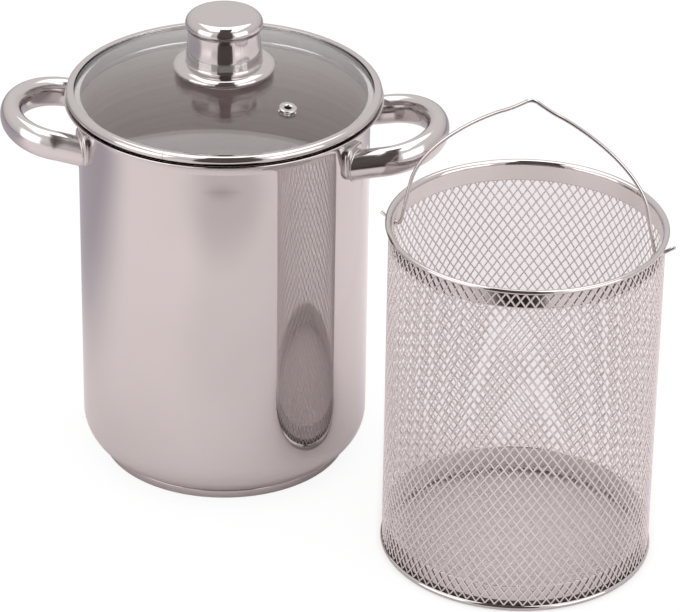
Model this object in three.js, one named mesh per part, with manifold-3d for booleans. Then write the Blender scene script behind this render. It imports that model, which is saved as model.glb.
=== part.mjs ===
// Asparagus pot: a tall steel pot with a glass lid, and the mesh basket that stands beside it.
// Millimetres, +Z up. The origin is the centre of the pot's base on the table, and +X runs along the handles.
import * as THREE from "three";
import { mergeVertices } from "three/addons/utils/BufferGeometryUtils.js";
import Module from "manifold-3d";

const wasm = await Module();
wasm.setup();

// Driving dimensions, in millimetres and degrees
const GAP = 0.3; // between pieces that touch in the real thing
const POT_RADIUS = 81;
const POT_WALL = 0.8;
const POT_CORNER = 20;
const BASE_HEIGHT = 5; // of the rim that meets the wall's corner
const BASE_INSET = 10.8; // of the base's edge from the pot's wall
const BASE_SHEET = 0.6;
const SHELL_DIP = 1.9; // of the shell's floor below that rim
const FLARE_START_Z = 210;
const FLARE_RADIUS = 7.65;
const FLARE_ANGLE = 88;

const HANDLE_DROP = 12.5; // of the tube's centre line at the wall below the start of the flare
const HANDLE_RISE = 6.2; // from the wall to the end of the loop
const HANDLE_HALF_SPAN = 33;
const HANDLE_LEG_SPREAD = 3;
const HANDLE_LEG = 9.2; // from the pot's wall to the loop
const HANDLE_LOOP_DEPTH = 28.4;
const HANDLE_ROOT_DEPTH = 20; // of the leg's first point inside the pot's wall
const HANDLE_WIDTH = 12.8;
const HANDLE_HEIGHT = 17;
const HANDLE_WALL = 1.2;
const PLATE_Y = 33.3; // from the handle's axis
const PLATE_WIDTH = 18;
const PLATE_LIFT = 2; // above the tube's centre line
const PLATE_HEIGHT = 20;
const PLATE_CORNER = 6;
const PLATE_THICKNESS = 2.4;

const LID_RISE = 25; // of the dome's top above the start of the flare
const GLASS_RISE = 12.4;
const GLASS_THICKNESS = 3.6;
const GLASS_OVERHANG = 3.2; // past the pot's wall
const BAND_TUBE = 2.6;
const BAND_OVERHANG = 0.7; // of the tube's centre past the glass
const BAND_LIFT = 0.3; // of the tube's underside above the pot's lip
const BAND_SHEET = 0.6;
const BAND_LIP = 1.2; // over the glass
const SEAT_FROM = 140; // where the band's underside begins to follow the flare, and where it leaves it
const SEAT_TO = 112;
const SKIRT_CLEARANCE = 0.6; // inside the pot's wall
const SKIRT_DEPTH = 5;
const VENT_RADIUS = 52.9; // from the lid's centre
const VENT_ANGLE = -43;
const VENT_OUTER = 5;
const VENT_BORE = 1.85;
const VENT_TUBE = 2.6;
const VENT_SHEET = 0.8;

const SCREW_RADIUS = 2.4;
const SCREW_HEAD_RADIUS = 5;
const SCREW_HEAD_HEIGHT = 3.2;
const SCREW_REACH = 14; // above the glass
const WASHER_RADIUS = 8.5;
const WASHER_THICKNESS = 1.2;
const GASKET_RADIUS = 10.5;
const GASKET_THICKNESS = 0.7;
const KNOB_SKIRT_RADIUS = 28.3;
const KNOB_SKIRT_HEIGHT = 4.3;
const KNOB_SKIRT_ROLL = 3.2; // radius of the saucer's rolled edge
const KNOB_FOOT_RADIUS = 21;
const KNOB_NECK_RADIUS = 19.4;
const KNOB_CAP_RADIUS = 21.4;
const KNOB_EDGE = 5.5; // radius of the top edge
const KNOB_CREASE = 8.6; // where the cap curves out from the neck, below the top
const KNOB_CAP_DROP = 3; // height of that curve
const KNOB_FOOT_RISE = 5; // height of the foot's upright part
const KNOB_HEIGHT = 27.2; // above the saucer
const KNOB_WALL = 1.1;
const INSERT_HEIGHT = 12;

const BASKET_X = 172.4;
const BASKET_Y = -93;
const BASKET_HEIGHT = 197.9;
const MESH_RADIUS = 73.8;
const MESH_THICKNESS = 0.8;
const MESH_COLUMNS = 18;
const MESH_ROWS = 9;
const MESH_STRAND = 2.8;
const MESH_FOOT_Z = 3.8;
const MESH_BORDER = 5;
const STRIP_SHEET = 0.5;
const TOP_BAND_HEIGHT = 11.8;
const BOTTOM_BAND_TOP_Z = 15.2;
const RIM_BEAD = 1.25;
const RIM_BEAD_OUT = 0.7; // of the bead's centre past the mesh
const RIM_CURL_FROM = -150;
const FOOT_BEAD = 1.75;
const FOOT_BEAD_IN = 0.8; // of the bead's centre inside the mesh
const FOOT_CURL_TO = 60;
const FLOOR_Z = 4.5;
const FLOOR_THICKNESS = 0.8;
const FLOOR_LEDGE = 4;
const FLOOR_DIAMOND_WIDTH = 18;
const FLOOR_DIAMOND_HEIGHT = 25;
const FLOOR_STRAND = 2.6;
const FLOOR_MARGIN = 1.6;

const BAIL_ANGLE = -8.5; // of the line through the two ears, from the handles' axis
const BAIL_WIRE = 1; // radius
const EAR_DROP = 8.8; // below the basket's rim
const EAR_OUT = 5.8; // of the ear's tip past the mesh
const EAR_SLOPE = 34;
const EAR_IN = 4.6; // of the hook's corner inside the mesh
const EAR_BEND = 4.2; // length of each side of the hook's bend
const BAIL_RISE = 73.5; // above the basket's rim
const BAIL_SHOULDER = 10.9;
const BAIL_SHOULDER_DROP = 7; // below the peak
const BAIL_ARCH_RISE = 15.6; // above the basket's rim
const BAIL_ARCH_IN = 9.8; // inside the mesh
const BAIL_LEG_PULL = 24; // how far the arch keeps the leg's direction
const BAIL_SHOULDER_PULL = 18;
const BAIL_SHOULDER_SLOPE = 21;
const PEAK_BEND = 4;
const EAR_HOLE = 1.75;
const EAR_MESH_HOLE = 2.7;
const EAR_HOLE_DEPTH = 8;

const RING_SEGMENTS = 40;
const KNOB_SEGMENTS = 28;
const SMALL_SEGMENTS = 16;

// Sizes that follow from the ones above
const SHELL_BOTTOM_Z = BASE_HEIGHT - SHELL_DIP;
const BASE_RADIUS = POT_RADIUS - BASE_INSET;
const HANDLE_Z = FLARE_START_Z - HANDLE_DROP;
const HANDLE_ROOT_X = POT_RADIUS - HANDLE_ROOT_DEPTH;
const HANDLE_BEND_X = POT_RADIUS + HANDLE_LEG;
const PLATE_Z = HANDLE_Z + PLATE_LIFT;
const RIM_Z = FLARE_START_Z + (FLARE_RADIUS + POT_WALL) * Math.sin(THREE.MathUtils.degToRad(FLARE_ANGLE));
const BAND_TUBE_Z = RIM_Z + BAND_LIFT + BAND_TUBE;
const GLASS_TOP_Z = FLARE_START_Z + LID_RISE;
const GLASS_RADIUS = POT_RADIUS + GLASS_OVERHANG;
const GLASS_SPHERE = (GLASS_RADIUS ** 2 + GLASS_RISE ** 2) / (2 * GLASS_RISE);
const BAND_TUBE_RADIUS = GLASS_RADIUS + BAND_OVERHANG;
const BAND_LIP_RADIUS = GLASS_RADIUS - BAND_LIP;
const SKIRT_RADIUS = POT_RADIUS - POT_WALL - SKIRT_CLEARANCE;
const STRIP_OUTER = MESH_RADIUS - MESH_THICKNESS - 1.4 * GAP;
const STRIP_INNER = STRIP_OUTER - STRIP_SHEET;
const STRIP_MIDDLE = (STRIP_OUTER + STRIP_INNER) / 2;
const RIM_BEAD_RADIUS = MESH_RADIUS + RIM_BEAD_OUT;
const FOOT_BEAD_RADIUS = MESH_RADIUS - FOOT_BEAD_IN;
const EAR_Z = BASKET_HEIGHT - EAR_DROP;
const EAR_TIP = MESH_RADIUS + EAR_OUT;
const EAR_CORNER = MESH_RADIUS - EAR_IN;
const BAIL_PEAK_Z = BASKET_HEIGHT + BAIL_RISE;
const BAIL_SHOULDER_Z = BAIL_PEAK_Z - BAIL_SHOULDER_DROP;
const BAIL_ARCH_Z = BASKET_HEIGHT + BAIL_ARCH_RISE;
const BAIL_ARCH_HALF = MESH_RADIUS - BAIL_ARCH_IN;

// Directions that the swept sections keep to
const UP = new THREE.Vector3(0, 0, 1);
const ACROSS = new THREE.Vector3(0, 1, 0);

// Materials
const polishedSteel = new THREE.MeshStandardMaterial({ color: 0xc9c4c2, metalness: 1, roughness: 0.12 });
const wireSteel = new THREE.MeshStandardMaterial({ color: 0xbdb8b6, metalness: 1, roughness: 0.25 });
const aluminium = new THREE.MeshStandardMaterial({ color: 0xb9bbbd, metalness: 1, roughness: 0.4 });
const glass = new THREE.MeshStandardMaterial({
  color: 0xe8f0ee,
  metalness: 0,
  roughness: 0.03,
  transparent: true,
  opacity: 0.3,
});
const silicone = new THREE.MeshStandardMaterial({ color: 0xd8d8d4, metalness: 0, roughness: 0.6 });

// A closed geometry as a solid, with its shared vertices merged and its faces turned out.
function solidOf(geometry) {
  const bare = new THREE.BufferGeometry();
  bare.setAttribute("position", geometry.getAttribute("position"));
  bare.setIndex(geometry.index);
  const merged = mergeVertices(bare, 1e-4);
  const corners = [];
  for (let i = 0; i < merged.index.count; i += 3) {
    const [a, b, c] = [0, 1, 2].map((k) => merged.index.getX(i + k));
    if (a !== b && b !== c && c !== a) corners.push([a, b, c]);
  }
  const made = (order) =>
    new wasm.Manifold(
      new wasm.Mesh({
        numProp: 3,
        vertProperties: merged.attributes.position.array,
        triVerts: new Uint32Array(corners.flatMap(order)),
      }),
    );
  const solid = made(([a, b, c]) => [a, b, c]);
  return solid.volume() > 0 ? solid : made(([a, b, c]) => [a, c, b]);
}

// A named mesh made from a solid.
function piece(name, solid, material) {
  const mesh = solid.getMesh();
  const geometry = new THREE.BufferGeometry();
  geometry.setAttribute("position", new THREE.BufferAttribute(mesh.vertProperties, 3));
  geometry.setIndex(new THREE.BufferAttribute(mesh.triVerts, 1));
  geometry.computeVertexNormals();
  const made = new THREE.Mesh(geometry, material);
  made.name = name;
  return made;
}

// A surface of revolution about Z from a closed outline of [radius, height] points.
function lathed(outline, segments) {
  const points = [...outline, outline[0]].map(([r, z]) => new THREE.Vector2(r, z));
  return new THREE.LatheGeometry(points, segments).rotateX(Math.PI / 2);
}

function turned(outline, segments) {
  return solidOf(lathed(outline, segments));
}

// A ring or disc with a rectangular section.
function ring(inner, outer, bottom, top, segments) {
  const outline = [
    [inner, bottom],
    [outer, bottom],
    [outer, top],
    [inner, top],
  ];
  return turned(outline, segments);
}

// Points of an arc from one angle to another, in degrees.
function arc(centreX, centreY, radius, from, to, steps) {
  return Array.from({ length: steps + 1 }, (_, i) => {
    const angle = THREE.MathUtils.degToRad(from + ((to - from) * i) / steps);
    return [centreX + radius * Math.cos(angle), centreY + radius * Math.sin(angle)];
  });
}

// A path that a sweep follows one point at a time, so that tight bends get the points they need.
// The section's first axis keeps to a stated direction that the path is never along.
class PointPath extends THREE.Curve {
  constructor(points, firstAxis) {
    super();
    this.points = points;
    this.firstAxis = firstAxis;
  }

  getUtoTmapping(u) {
    return u;
  }

  getPoint(t, target = new THREE.Vector3()) {
    const at = t * (this.points.length - 1);
    const i = Math.min(Math.floor(at), this.points.length - 2);
    return target.lerpVectors(this.points[i], this.points[i + 1], at - i);
  }

  getTangent(t, target = new THREE.Vector3()) {
    const last = this.points.length - 1;
    const i = Math.round(t * last);
    const here = this.points[i];
    const before = i > 0 ? here.clone().sub(this.points[i - 1]).normalize() : new THREE.Vector3();
    const after = i < last ? this.points[i + 1].clone().sub(here).normalize() : new THREE.Vector3();
    return target.addVectors(before, after).normalize();
  }

  computeFrenetFrames(segments) {
    const tangents = Array.from({ length: segments + 1 }, (_, i) => this.getTangent(i / segments));
    const binormals = tangents.map((along) => along.clone().cross(this.firstAxis).normalize());
    const normals = tangents.map((along, i) => binormals[i].clone().cross(along).normalize());
    return { tangents, normals, binormals };
  }
}

// A section swept along a list of points.
function swept(shape, points, firstAxis, curveSegments) {
  const settings = {
    steps: points.length - 1,
    extrudePath: new PointPath(points, firstAxis),
    bevelEnabled: false,
    curveSegments,
  };
  return solidOf(new THREE.ExtrudeGeometry(shape, settings));
}

function ellipse(across, along) {
  return new THREE.Shape().absellipse(0, 0, across, along, 0, Math.PI * 2);
}

// Pot

function potShell() {
  const cornerX = POT_RADIUS - POT_CORNER;
  const cornerZ = SHELL_BOTTOM_Z + POT_CORNER;
  const flareX = POT_RADIUS + FLARE_RADIUS;
  const outline = [
    [0, SHELL_BOTTOM_Z],
    ...arc(cornerX, cornerZ, POT_CORNER, -90, 0, 5),
    ...arc(flareX, FLARE_START_Z, FLARE_RADIUS, 180, 180 - FLARE_ANGLE, 4),
    ...arc(flareX, FLARE_START_Z, FLARE_RADIUS + POT_WALL, 180 - FLARE_ANGLE, 180, 4),
    ...arc(cornerX, cornerZ, POT_CORNER - POT_WALL, 0, -90, 5),
    [0, SHELL_BOTTOM_Z + POT_WALL],
  ];
  return piece("pot_shell", turned(outline, RING_SEGMENTS), polishedSteel);
}

function potBase() {
  const inner = BASE_RADIUS - BASE_SHEET;
  const cap = [
    [0, 0],
    [inner, 0],
    [BASE_RADIUS, BASE_SHEET],
    [BASE_RADIUS, BASE_HEIGHT],
    [inner, BASE_HEIGHT - BASE_SHEET / 2],
    [inner, BASE_SHEET],
    [0, BASE_SHEET],
  ];
  const core = ring(0, inner - GAP, BASE_SHEET + GAP, SHELL_BOTTOM_Z - GAP, RING_SEGMENTS);
  return [
    piece("base_cap", turned(cap, RING_SEGMENTS), polishedSteel),
    piece("base_core", core, aluminium),
  ];
}

// The tube's centre line: a leg that draws in towards a half ellipse, and its mirror image, rising outwards.
function handleLine() {
  const slope = HANDLE_RISE / (HANDLE_LEG + HANDLE_LOOP_DEPTH);
  const at = (x, y) => new THREE.Vector3(x, y, HANDLE_Z + slope * (x - POT_RADIUS));
  const root = at(HANDLE_ROOT_X, HANDLE_HALF_SPAN + HANDLE_LEG_SPREAD);
  const knee = at(POT_RADIUS, HANDLE_HALF_SPAN);
  const leg = new THREE.QuadraticBezierCurve3(root, knee, at(HANDLE_BEND_X, HANDLE_HALF_SPAN)).getPoints(3);
  const onLoop = ([x, y]) => at(HANDLE_BEND_X + HANDLE_LOOP_DEPTH * x, HANDLE_HALF_SPAN * y);
  const turn = arc(0, 0, 1, 90, -90, 16).map(onLoop);
  const mirrored = leg.map((p) => at(p.x, -p.y)).reverse();
  return [...leg.slice(0, -1), ...turn, ...mirrored.slice(1)];
}

function handlePlate(name, side) {
  const angle = side * Math.asin(PLATE_Y / POT_RADIUS);
  const [w, h] = [PLATE_WIDTH / 2 - PLATE_CORNER, PLATE_HEIGHT / 2 - PLATE_CORNER];
  const shape = new THREE.Shape();
  shape.absarc(w, h, PLATE_CORNER, 0, Math.PI / 2);
  shape.absarc(-w, h, PLATE_CORNER, Math.PI / 2, Math.PI);
  shape.absarc(-w, -h, PLATE_CORNER, Math.PI, Math.PI * 1.5);
  shape.absarc(w, -h, PLATE_CORNER, Math.PI * 1.5, Math.PI * 2);
  const depth = PLATE_WIDTH;
  const block = new THREE.ExtrudeGeometry(shape, { depth, bevelEnabled: false, curveSegments: 3 });
  block.rotateX(Math.PI / 2).rotateZ(Math.PI / 2).translate(POT_RADIUS - depth / 2, 0, PLATE_Z);
  const inner = POT_RADIUS + GAP;
  const [bottom, top] = [PLATE_Z - PLATE_HEIGHT, PLATE_Z + PLATE_HEIGHT];
  const wall = ring(inner, inner + PLATE_THICKNESS, bottom, top, RING_SEGMENTS);
  return piece(name, solidOf(block.rotateZ(angle)).intersect(wall), polishedSteel);
}

function handle(side, turn) {
  const tube = ellipse(HANDLE_HEIGHT / 2, HANDLE_WIDTH / 2);
  tube.holes.push(ellipse(HANDLE_HEIGHT / 2 - HANDLE_WALL, HANDLE_WIDTH / 2 - HANDLE_WALL));
  const rootRadius = POT_RADIUS + PLATE_THICKNESS + 2 * GAP;
  const room = ring(0, rootRadius, HANDLE_Z - HANDLE_HEIGHT, HANDLE_Z + HANDLE_HEIGHT, RING_SEGMENTS);
  const loop = swept(tube, handleLine(), UP, 6).subtract(room);
  const group = new THREE.Group();
  group.rotation.z = turn;
  group.add(
    piece(`${side}_handle`, loop, polishedSteel),
    handlePlate(`${side}_handle_front_plate`, turn === 0 ? -1 : 1),
    handlePlate(`${side}_handle_rear_plate`, turn === 0 ? 1 : -1),
  );
  return group;
}

function pot() {
  const group = new THREE.Group();
  group.add(potShell(), ...potBase(), handle("right", 0), handle("left", Math.PI));
  return group;
}

// Lid

// Height of the dome's outer face at a distance from the axis.
function domeZ(radius) {
  return GLASS_TOP_Z - GLASS_SPHERE + Math.sqrt(GLASS_SPHERE ** 2 - radius ** 2);
}

// Moves a solid made about Z so that its origin sits on the dome at the vent, square to the glass.
function atVent(geometry) {
  const tilt = Math.asin(VENT_RADIUS / GLASS_SPHERE);
  const turn = THREE.MathUtils.degToRad(VENT_ANGLE);
  return geometry.rotateY(tilt).translate(VENT_RADIUS, 0, domeZ(VENT_RADIUS)).rotateZ(turn);
}

function lidGlass() {
  const hole = SCREW_RADIUS + 2 * GAP;
  const steps = 5;
  const top = Array.from({ length: steps + 1 }, (_, i) => {
    const r = hole + ((GLASS_RADIUS - hole) * i) / steps;
    return [r, domeZ(r)];
  });
  const bottom = top.map(([r, z]) => [r, z - GLASS_THICKNESS]).reverse();
  const boreRadius = VENT_TUBE + GAP;
  const bore = new THREE.CylinderGeometry(boreRadius, boreRadius, 4 * GLASS_THICKNESS, SMALL_SEGMENTS);
  const dome = turned([...top, ...bottom], RING_SEGMENTS);
  return piece("lid_glass", dome.subtract(solidOf(atVent(bore.rotateX(Math.PI / 2)))), glass);
}

// The band's section: a skirt inside the pot's mouth, a seat on the flare, a round outside, and a groove
// that holds the glass.
function lidBand() {
  const edgeTop = domeZ(GLASS_RADIUS);
  const grooveTop = domeZ(BAND_LIP_RADIUS) + GAP;
  const grooveFloor = edgeTop - GLASS_THICKNESS - GAP;
  const grooveRadius = GLASS_RADIUS + GAP;
  const seatRadius = FLARE_RADIUS + POT_WALL + GAP;
  const seat = arc(POT_RADIUS + FLARE_RADIUS, FLARE_START_Z, seatRadius, SEAT_FROM, SEAT_TO, 3);
  const skirtTop = seat[0][1] - (seat[0][0] - SKIRT_RADIUS) / 2;
  const skirtBottom = grooveFloor - SKIRT_DEPTH;
  const outline = [
    [SKIRT_RADIUS - BAND_SHEET, skirtBottom],
    [SKIRT_RADIUS, skirtBottom],
    [SKIRT_RADIUS, skirtTop],
    ...seat,
    ...arc(BAND_TUBE_RADIUS, BAND_TUBE_Z, BAND_TUBE, -70, 90, 6),
    [BAND_LIP_RADIUS, grooveTop + BAND_SHEET],
    [BAND_LIP_RADIUS, grooveTop],
    [grooveRadius, grooveTop],
    [grooveRadius, grooveFloor],
    [SKIRT_RADIUS - BAND_SHEET, grooveFloor],
  ];
  return piece("lid_band", turned(outline, RING_SEGMENTS), polishedSteel);
}

function vent() {
  const under = -GLASS_THICKNESS - GAP;
  const eyelet = [
    [VENT_BORE, under - 2 * VENT_SHEET],
    [VENT_TUBE, under - 2 * VENT_SHEET],
    [VENT_TUBE, GAP],
    [VENT_OUTER, GAP],
    [VENT_OUTER - VENT_SHEET / 2, GAP + VENT_SHEET],
    [VENT_BORE, GAP + VENT_SHEET],
  ];
  const washer = [
    [VENT_TUBE + GAP, under - VENT_SHEET],
    [VENT_OUTER, under - VENT_SHEET],
    [VENT_OUTER, under],
    [VENT_TUBE + GAP, under],
  ];
  return [
    piece("vent_eyelet", solidOf(atVent(lathed(eyelet, SMALL_SEGMENTS))), polishedSteel),
    piece("vent_washer", solidOf(atVent(lathed(washer, SMALL_SEGMENTS))), polishedSteel),
  ];
}

// The screw and what it clamps, from the glass down.
function knobFixing() {
  const bore = SCREW_RADIUS + GAP;
  const gasketTop = GLASS_TOP_Z - GLASS_THICKNESS - 2 * GAP;
  const washerTop = gasketTop - GASKET_THICKNESS - GAP;
  const headTop = washerTop - WASHER_THICKNESS - GAP;
  const shankTop = GLASS_TOP_Z + SCREW_REACH;
  const screw = [
    [0, headTop - SCREW_HEAD_HEIGHT],
    [SCREW_HEAD_RADIUS - 1, headTop - SCREW_HEAD_HEIGHT],
    [SCREW_HEAD_RADIUS, headTop - SCREW_HEAD_HEIGHT / 2],
    [SCREW_HEAD_RADIUS, headTop],
    [SCREW_RADIUS, headTop],
    [SCREW_RADIUS, shankTop],
    [0, shankTop],
  ];
  const lower = ring(bore, WASHER_RADIUS, gasketTop - GASKET_THICKNESS, gasketTop, SMALL_SEGMENTS);
  const washer = ring(bore, WASHER_RADIUS, washerTop - WASHER_THICKNESS, washerTop, SMALL_SEGMENTS);
  const upperZ = GLASS_TOP_Z + GAP;
  const upper = ring(bore, GASKET_RADIUS, upperZ, upperZ + GASKET_THICKNESS, SMALL_SEGMENTS);
  return [
    piece("knob_screw", turned(screw, SMALL_SEGMENTS), polishedSteel),
    piece("knob_lower_gasket", lower, silicone),
    piece("knob_washer", washer, polishedSteel),
    piece("knob_upper_gasket", upper, silicone),
  ];
}

function knob() {
  const bore = SCREW_RADIUS + GAP;
  const skirtZ = GLASS_TOP_Z + GASKET_THICKNESS + 2 * GAP;
  const skirtTop = skirtZ + KNOB_SKIRT_HEIGHT;
  const rollZ = skirtTop - KNOB_SKIRT_ROLL;
  const skirt = [
    [bore, skirtZ],
    [GASKET_RADIUS, skirtZ],
    ...arc(KNOB_SKIRT_RADIUS - KNOB_SKIRT_ROLL, rollZ, KNOB_SKIRT_ROLL, -90, 90, 6),
    [KNOB_FOOT_RADIUS, skirtTop],
    [bore, skirtTop],
  ];
  const footZ = skirtTop + GAP;
  const topZ = footZ + KNOB_HEIGHT;
  const creaseZ = topZ - KNOB_CREASE;
  const outer = [
    [KNOB_FOOT_RADIUS, footZ],
    [KNOB_FOOT_RADIUS, footZ + KNOB_FOOT_RISE],
    [(KNOB_FOOT_RADIUS + KNOB_NECK_RADIUS) / 2, (footZ + KNOB_FOOT_RISE + creaseZ) / 2],
    [KNOB_NECK_RADIUS, creaseZ],
    [(KNOB_CAP_RADIUS + 2 * KNOB_NECK_RADIUS) / 3, creaseZ + KNOB_CAP_DROP / 4],
    ...arc(KNOB_CAP_RADIUS - KNOB_EDGE, topZ - KNOB_EDGE, KNOB_EDGE, 0, 90, 4),
  ];
  const innerTop = topZ - KNOB_WALL;
  const inner = outer.map(([r, z]) => [r - KNOB_WALL, Math.min(z, innerTop)]).reverse();
  const cap = [...outer, [0, topZ], [0, innerTop], ...inner.slice(1)];
  const insertRadius = KNOB_NECK_RADIUS - KNOB_WALL - 2 * GAP;
  const insert = ring(bore, insertRadius, footZ, footZ + INSERT_HEIGHT, KNOB_SEGMENTS);
  return [
    piece("knob_skirt", turned(skirt, KNOB_SEGMENTS), polishedSteel),
    piece("knob_cap", turned(cap, KNOB_SEGMENTS), polishedSteel),
    piece("knob_insert", insert, aluminium),
  ];
}

function lid() {
  const group = new THREE.Group();
  group.add(lidGlass(), lidBand(), ...vent(), ...knobFixing(), ...knob());
  return group;
}

// Basket, about its own axis

// Collects the faces of a sheet with an outer and an inner side, from corners given as [half column, height].
class Sheet {
  constructor(outer, inner, halfColumns) {
    this.radii = [outer, inner];
    this.step = (Math.PI * 2) / halfColumns;
    this.positions = [];
  }

  corner([column, z], side) {
    const angle = column * this.step;
    return [this.radii[side] * Math.cos(angle), this.radii[side] * Math.sin(angle), z];
  }

  face(corners) {
    for (let i = 1; i < corners.length - 1; i++)
      for (const p of [corners[0], corners[i], corners[i + 1]]) this.positions.push(...p);
  }

  // A patch seen from both sides, with its corners anticlockwise from outside.
  patch(corners) {
    this.face(corners.map((c) => this.corner(c, 0)));
    this.face(corners.map((c) => this.corner(c, 1)).reverse());
  }

  // The edge that joins the two sides between two corners.
  edge(a, b) {
    this.face([this.corner(a, 0), this.corner(b, 0), this.corner(b, 1), this.corner(a, 1)]);
  }

  solid() {
    const geometry = new THREE.BufferGeometry();
    geometry.setAttribute("position", new THREE.Float32BufferAttribute(this.positions, 3));
    return solidOf(mergeVertices(geometry, 1e-4));
  }
}

// Share of a diamond that stays open when strands of a given width run between it and its neighbours.
function openShare(halfWidth, halfHeight, strand) {
  const acrossFlats = (2 * halfWidth * halfHeight) / Math.hypot(halfWidth, halfHeight);
  return 1 - strand / acrossFlats;
}

// Diamonds in staggered rows round the wall, between a plain border at the foot and one at the top.
function wallMesh(topZ) {
  const lowZ = MESH_FOOT_Z + MESH_BORDER;
  const highZ = topZ - MESH_BORDER;
  const half = (highZ - lowZ) / (MESH_ROWS + 1);
  const halfColumns = 2 * MESH_COLUMNS;
  const halfWidth = (Math.PI * MESH_RADIUS) / MESH_COLUMNS;
  const open = openShare(halfWidth, half, MESH_STRAND);
  const sheet = new Sheet(MESH_RADIUS, MESH_RADIUS - MESH_THICKNESS, halfColumns);
  const around = [
    [1, 0],
    [0, 1],
    [-1, 0],
    [0, -1],
  ];
  for (let row = 0; row < MESH_ROWS; row++)
    for (let column = row % 2; column < halfColumns; column += 2) {
      const z = lowZ + half * (row + 1);
      const outside = around.map(([u, v]) => [column + u, z + v * half]);
      const inside = around.map(([u, v]) => [column + u * open, z + v * half * open]);
      outside.forEach((corner, i) => {
        const next = (i + 1) % outside.length;
        sheet.patch([corner, outside[next], inside[next], inside[i]]);
        sheet.edge(inside[i], inside[next]);
      });
    }
  for (let column = 0; column < halfColumns; column++) {
    const next = column + 1;
    sheet.patch([[column, MESH_FOOT_Z], [next, MESH_FOOT_Z], [next, lowZ], [column, lowZ]]);
    sheet.edge([next, MESH_FOOT_Z], [column, MESH_FOOT_Z]);
    sheet.patch([[column, highZ], [next, highZ], [next, topZ], [column, topZ]]);
    sheet.edge([column, topZ], [next, topZ]);
    const lowPeak = column % 2 === 0 ? next : column;
    sheet.patch([[column, lowZ], [next, lowZ], [lowPeak, lowZ + half]]);
    const highPeak = (column + MESH_ROWS - 1) % 2 === 0 ? next : column;
    sheet.patch([[next, highZ], [column, highZ], [highPeak, highZ - half]]);
  }
  return sheet.solid();
}

// Both ear holes, about the line through the ears.
function earHoles(radius) {
  const turn = THREE.MathUtils.degToRad(BAIL_ANGLE);
  const hole = (x) => {
    const rod = new THREE.CylinderGeometry(radius, radius, EAR_HOLE_DEPTH, SMALL_SEGMENTS);
    return solidOf(rod.rotateZ(Math.PI / 2).translate(x, 0, EAR_Z).rotateZ(turn));
  };
  return hole(STRIP_MIDDLE).add(hole(-STRIP_MIDDLE));
}

function basketWall() {
  const topZ = BASKET_HEIGHT - 2 * RIM_BEAD - 2 * GAP;
  return piece("basket_wall_mesh", wallMesh(topZ).subtract(earHoles(EAR_MESH_HOLE)), wireSteel);
}

function topBand() {
  const beadZ = BASKET_HEIGHT - RIM_BEAD;
  const bottom = BASKET_HEIGHT - TOP_BAND_HEIGHT;
  const outline = [
    [STRIP_INNER, bottom],
    [STRIP_OUTER, bottom],
    [STRIP_OUTER, beadZ - RIM_BEAD / 2],
    ...arc(RIM_BEAD_RADIUS, beadZ, RIM_BEAD, RIM_CURL_FROM, 90, 6),
    [STRIP_INNER + STRIP_SHEET, BASKET_HEIGHT - STRIP_SHEET / 2],
    [STRIP_INNER, BASKET_HEIGHT - 2 * STRIP_SHEET],
  ];
  const band = turned(outline, RING_SEGMENTS).subtract(earHoles(EAR_HOLE));
  return piece("basket_top_band", band, polishedSteel);
}

function bottomBand() {
  const ledgeTop = FLOOR_Z - GAP;
  const ledgeInner = STRIP_INNER - FLOOR_LEDGE;
  const outline = [
    [ledgeInner, ledgeTop - STRIP_SHEET],
    ...arc(FOOT_BEAD_RADIUS, FOOT_BEAD, FOOT_BEAD, -180, FOOT_CURL_TO, 6),
    [STRIP_OUTER, 2 * FOOT_BEAD - GAP / 2],
    [STRIP_OUTER, BOTTOM_BAND_TOP_Z],
    [STRIP_INNER, BOTTOM_BAND_TOP_Z],
    [STRIP_INNER, ledgeTop],
    [ledgeInner, ledgeTop],
  ];
  return piece("basket_bottom_band", turned(outline, RING_SEGMENTS), polishedSteel);
}

// A flat disc with diamonds in staggered rows wherever a whole one fits.
function basketFloor() {
  const radius = STRIP_INNER - 2 * GAP;
  const disc = new THREE.Shape().absarc(0, 0, radius, 0, Math.PI * 2);
  const [halfW, halfH] = [FLOOR_DIAMOND_WIDTH / 2, FLOOR_DIAMOND_HEIGHT / 2];
  const open = openShare(halfW, halfH, FLOOR_STRAND);
  const rows = Math.ceil(radius / halfH);
  const columns = Math.ceil(radius / halfW);
  for (let row = -rows; row <= rows; row++)
    for (let column = -columns; column <= columns; column++) {
      if ((row + column) % 2 !== 0) continue;
      const [x, y] = [column * halfW, row * halfH];
      const [w, h] = [halfW * open, halfH * open];
      const corners = [
        [x + w, y],
        [x, y + h],
        [x - w, y],
        [x, y - h],
      ];
      const fits = corners.every(([u, v]) => Math.hypot(u, v) < radius - FLOOR_MARGIN);
      if (fits) disc.holes.push(new THREE.Path(corners.map(([u, v]) => new THREE.Vector2(u, v))));
    }
  const settings = { depth: FLOOR_THICKNESS, bevelEnabled: false, curveSegments: RING_SEGMENTS / 2 };
  const floor = new THREE.ExtrudeGeometry(disc, settings).translate(0, 0, FLOOR_Z);
  return piece("basket_bottom_mesh", solidOf(floor), wireSteel);
}

// Points of a smooth bend that replaces a corner, starting and ending at a distance from it.
function bend(before, corner, after, distance, steps) {
  const from = corner.clone().add(before.clone().sub(corner).setLength(distance));
  const to = corner.clone().add(after.clone().sub(corner).setLength(distance));
  return new THREE.QuadraticBezierCurve3(from, corner, to).getPoints(steps);
}

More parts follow.
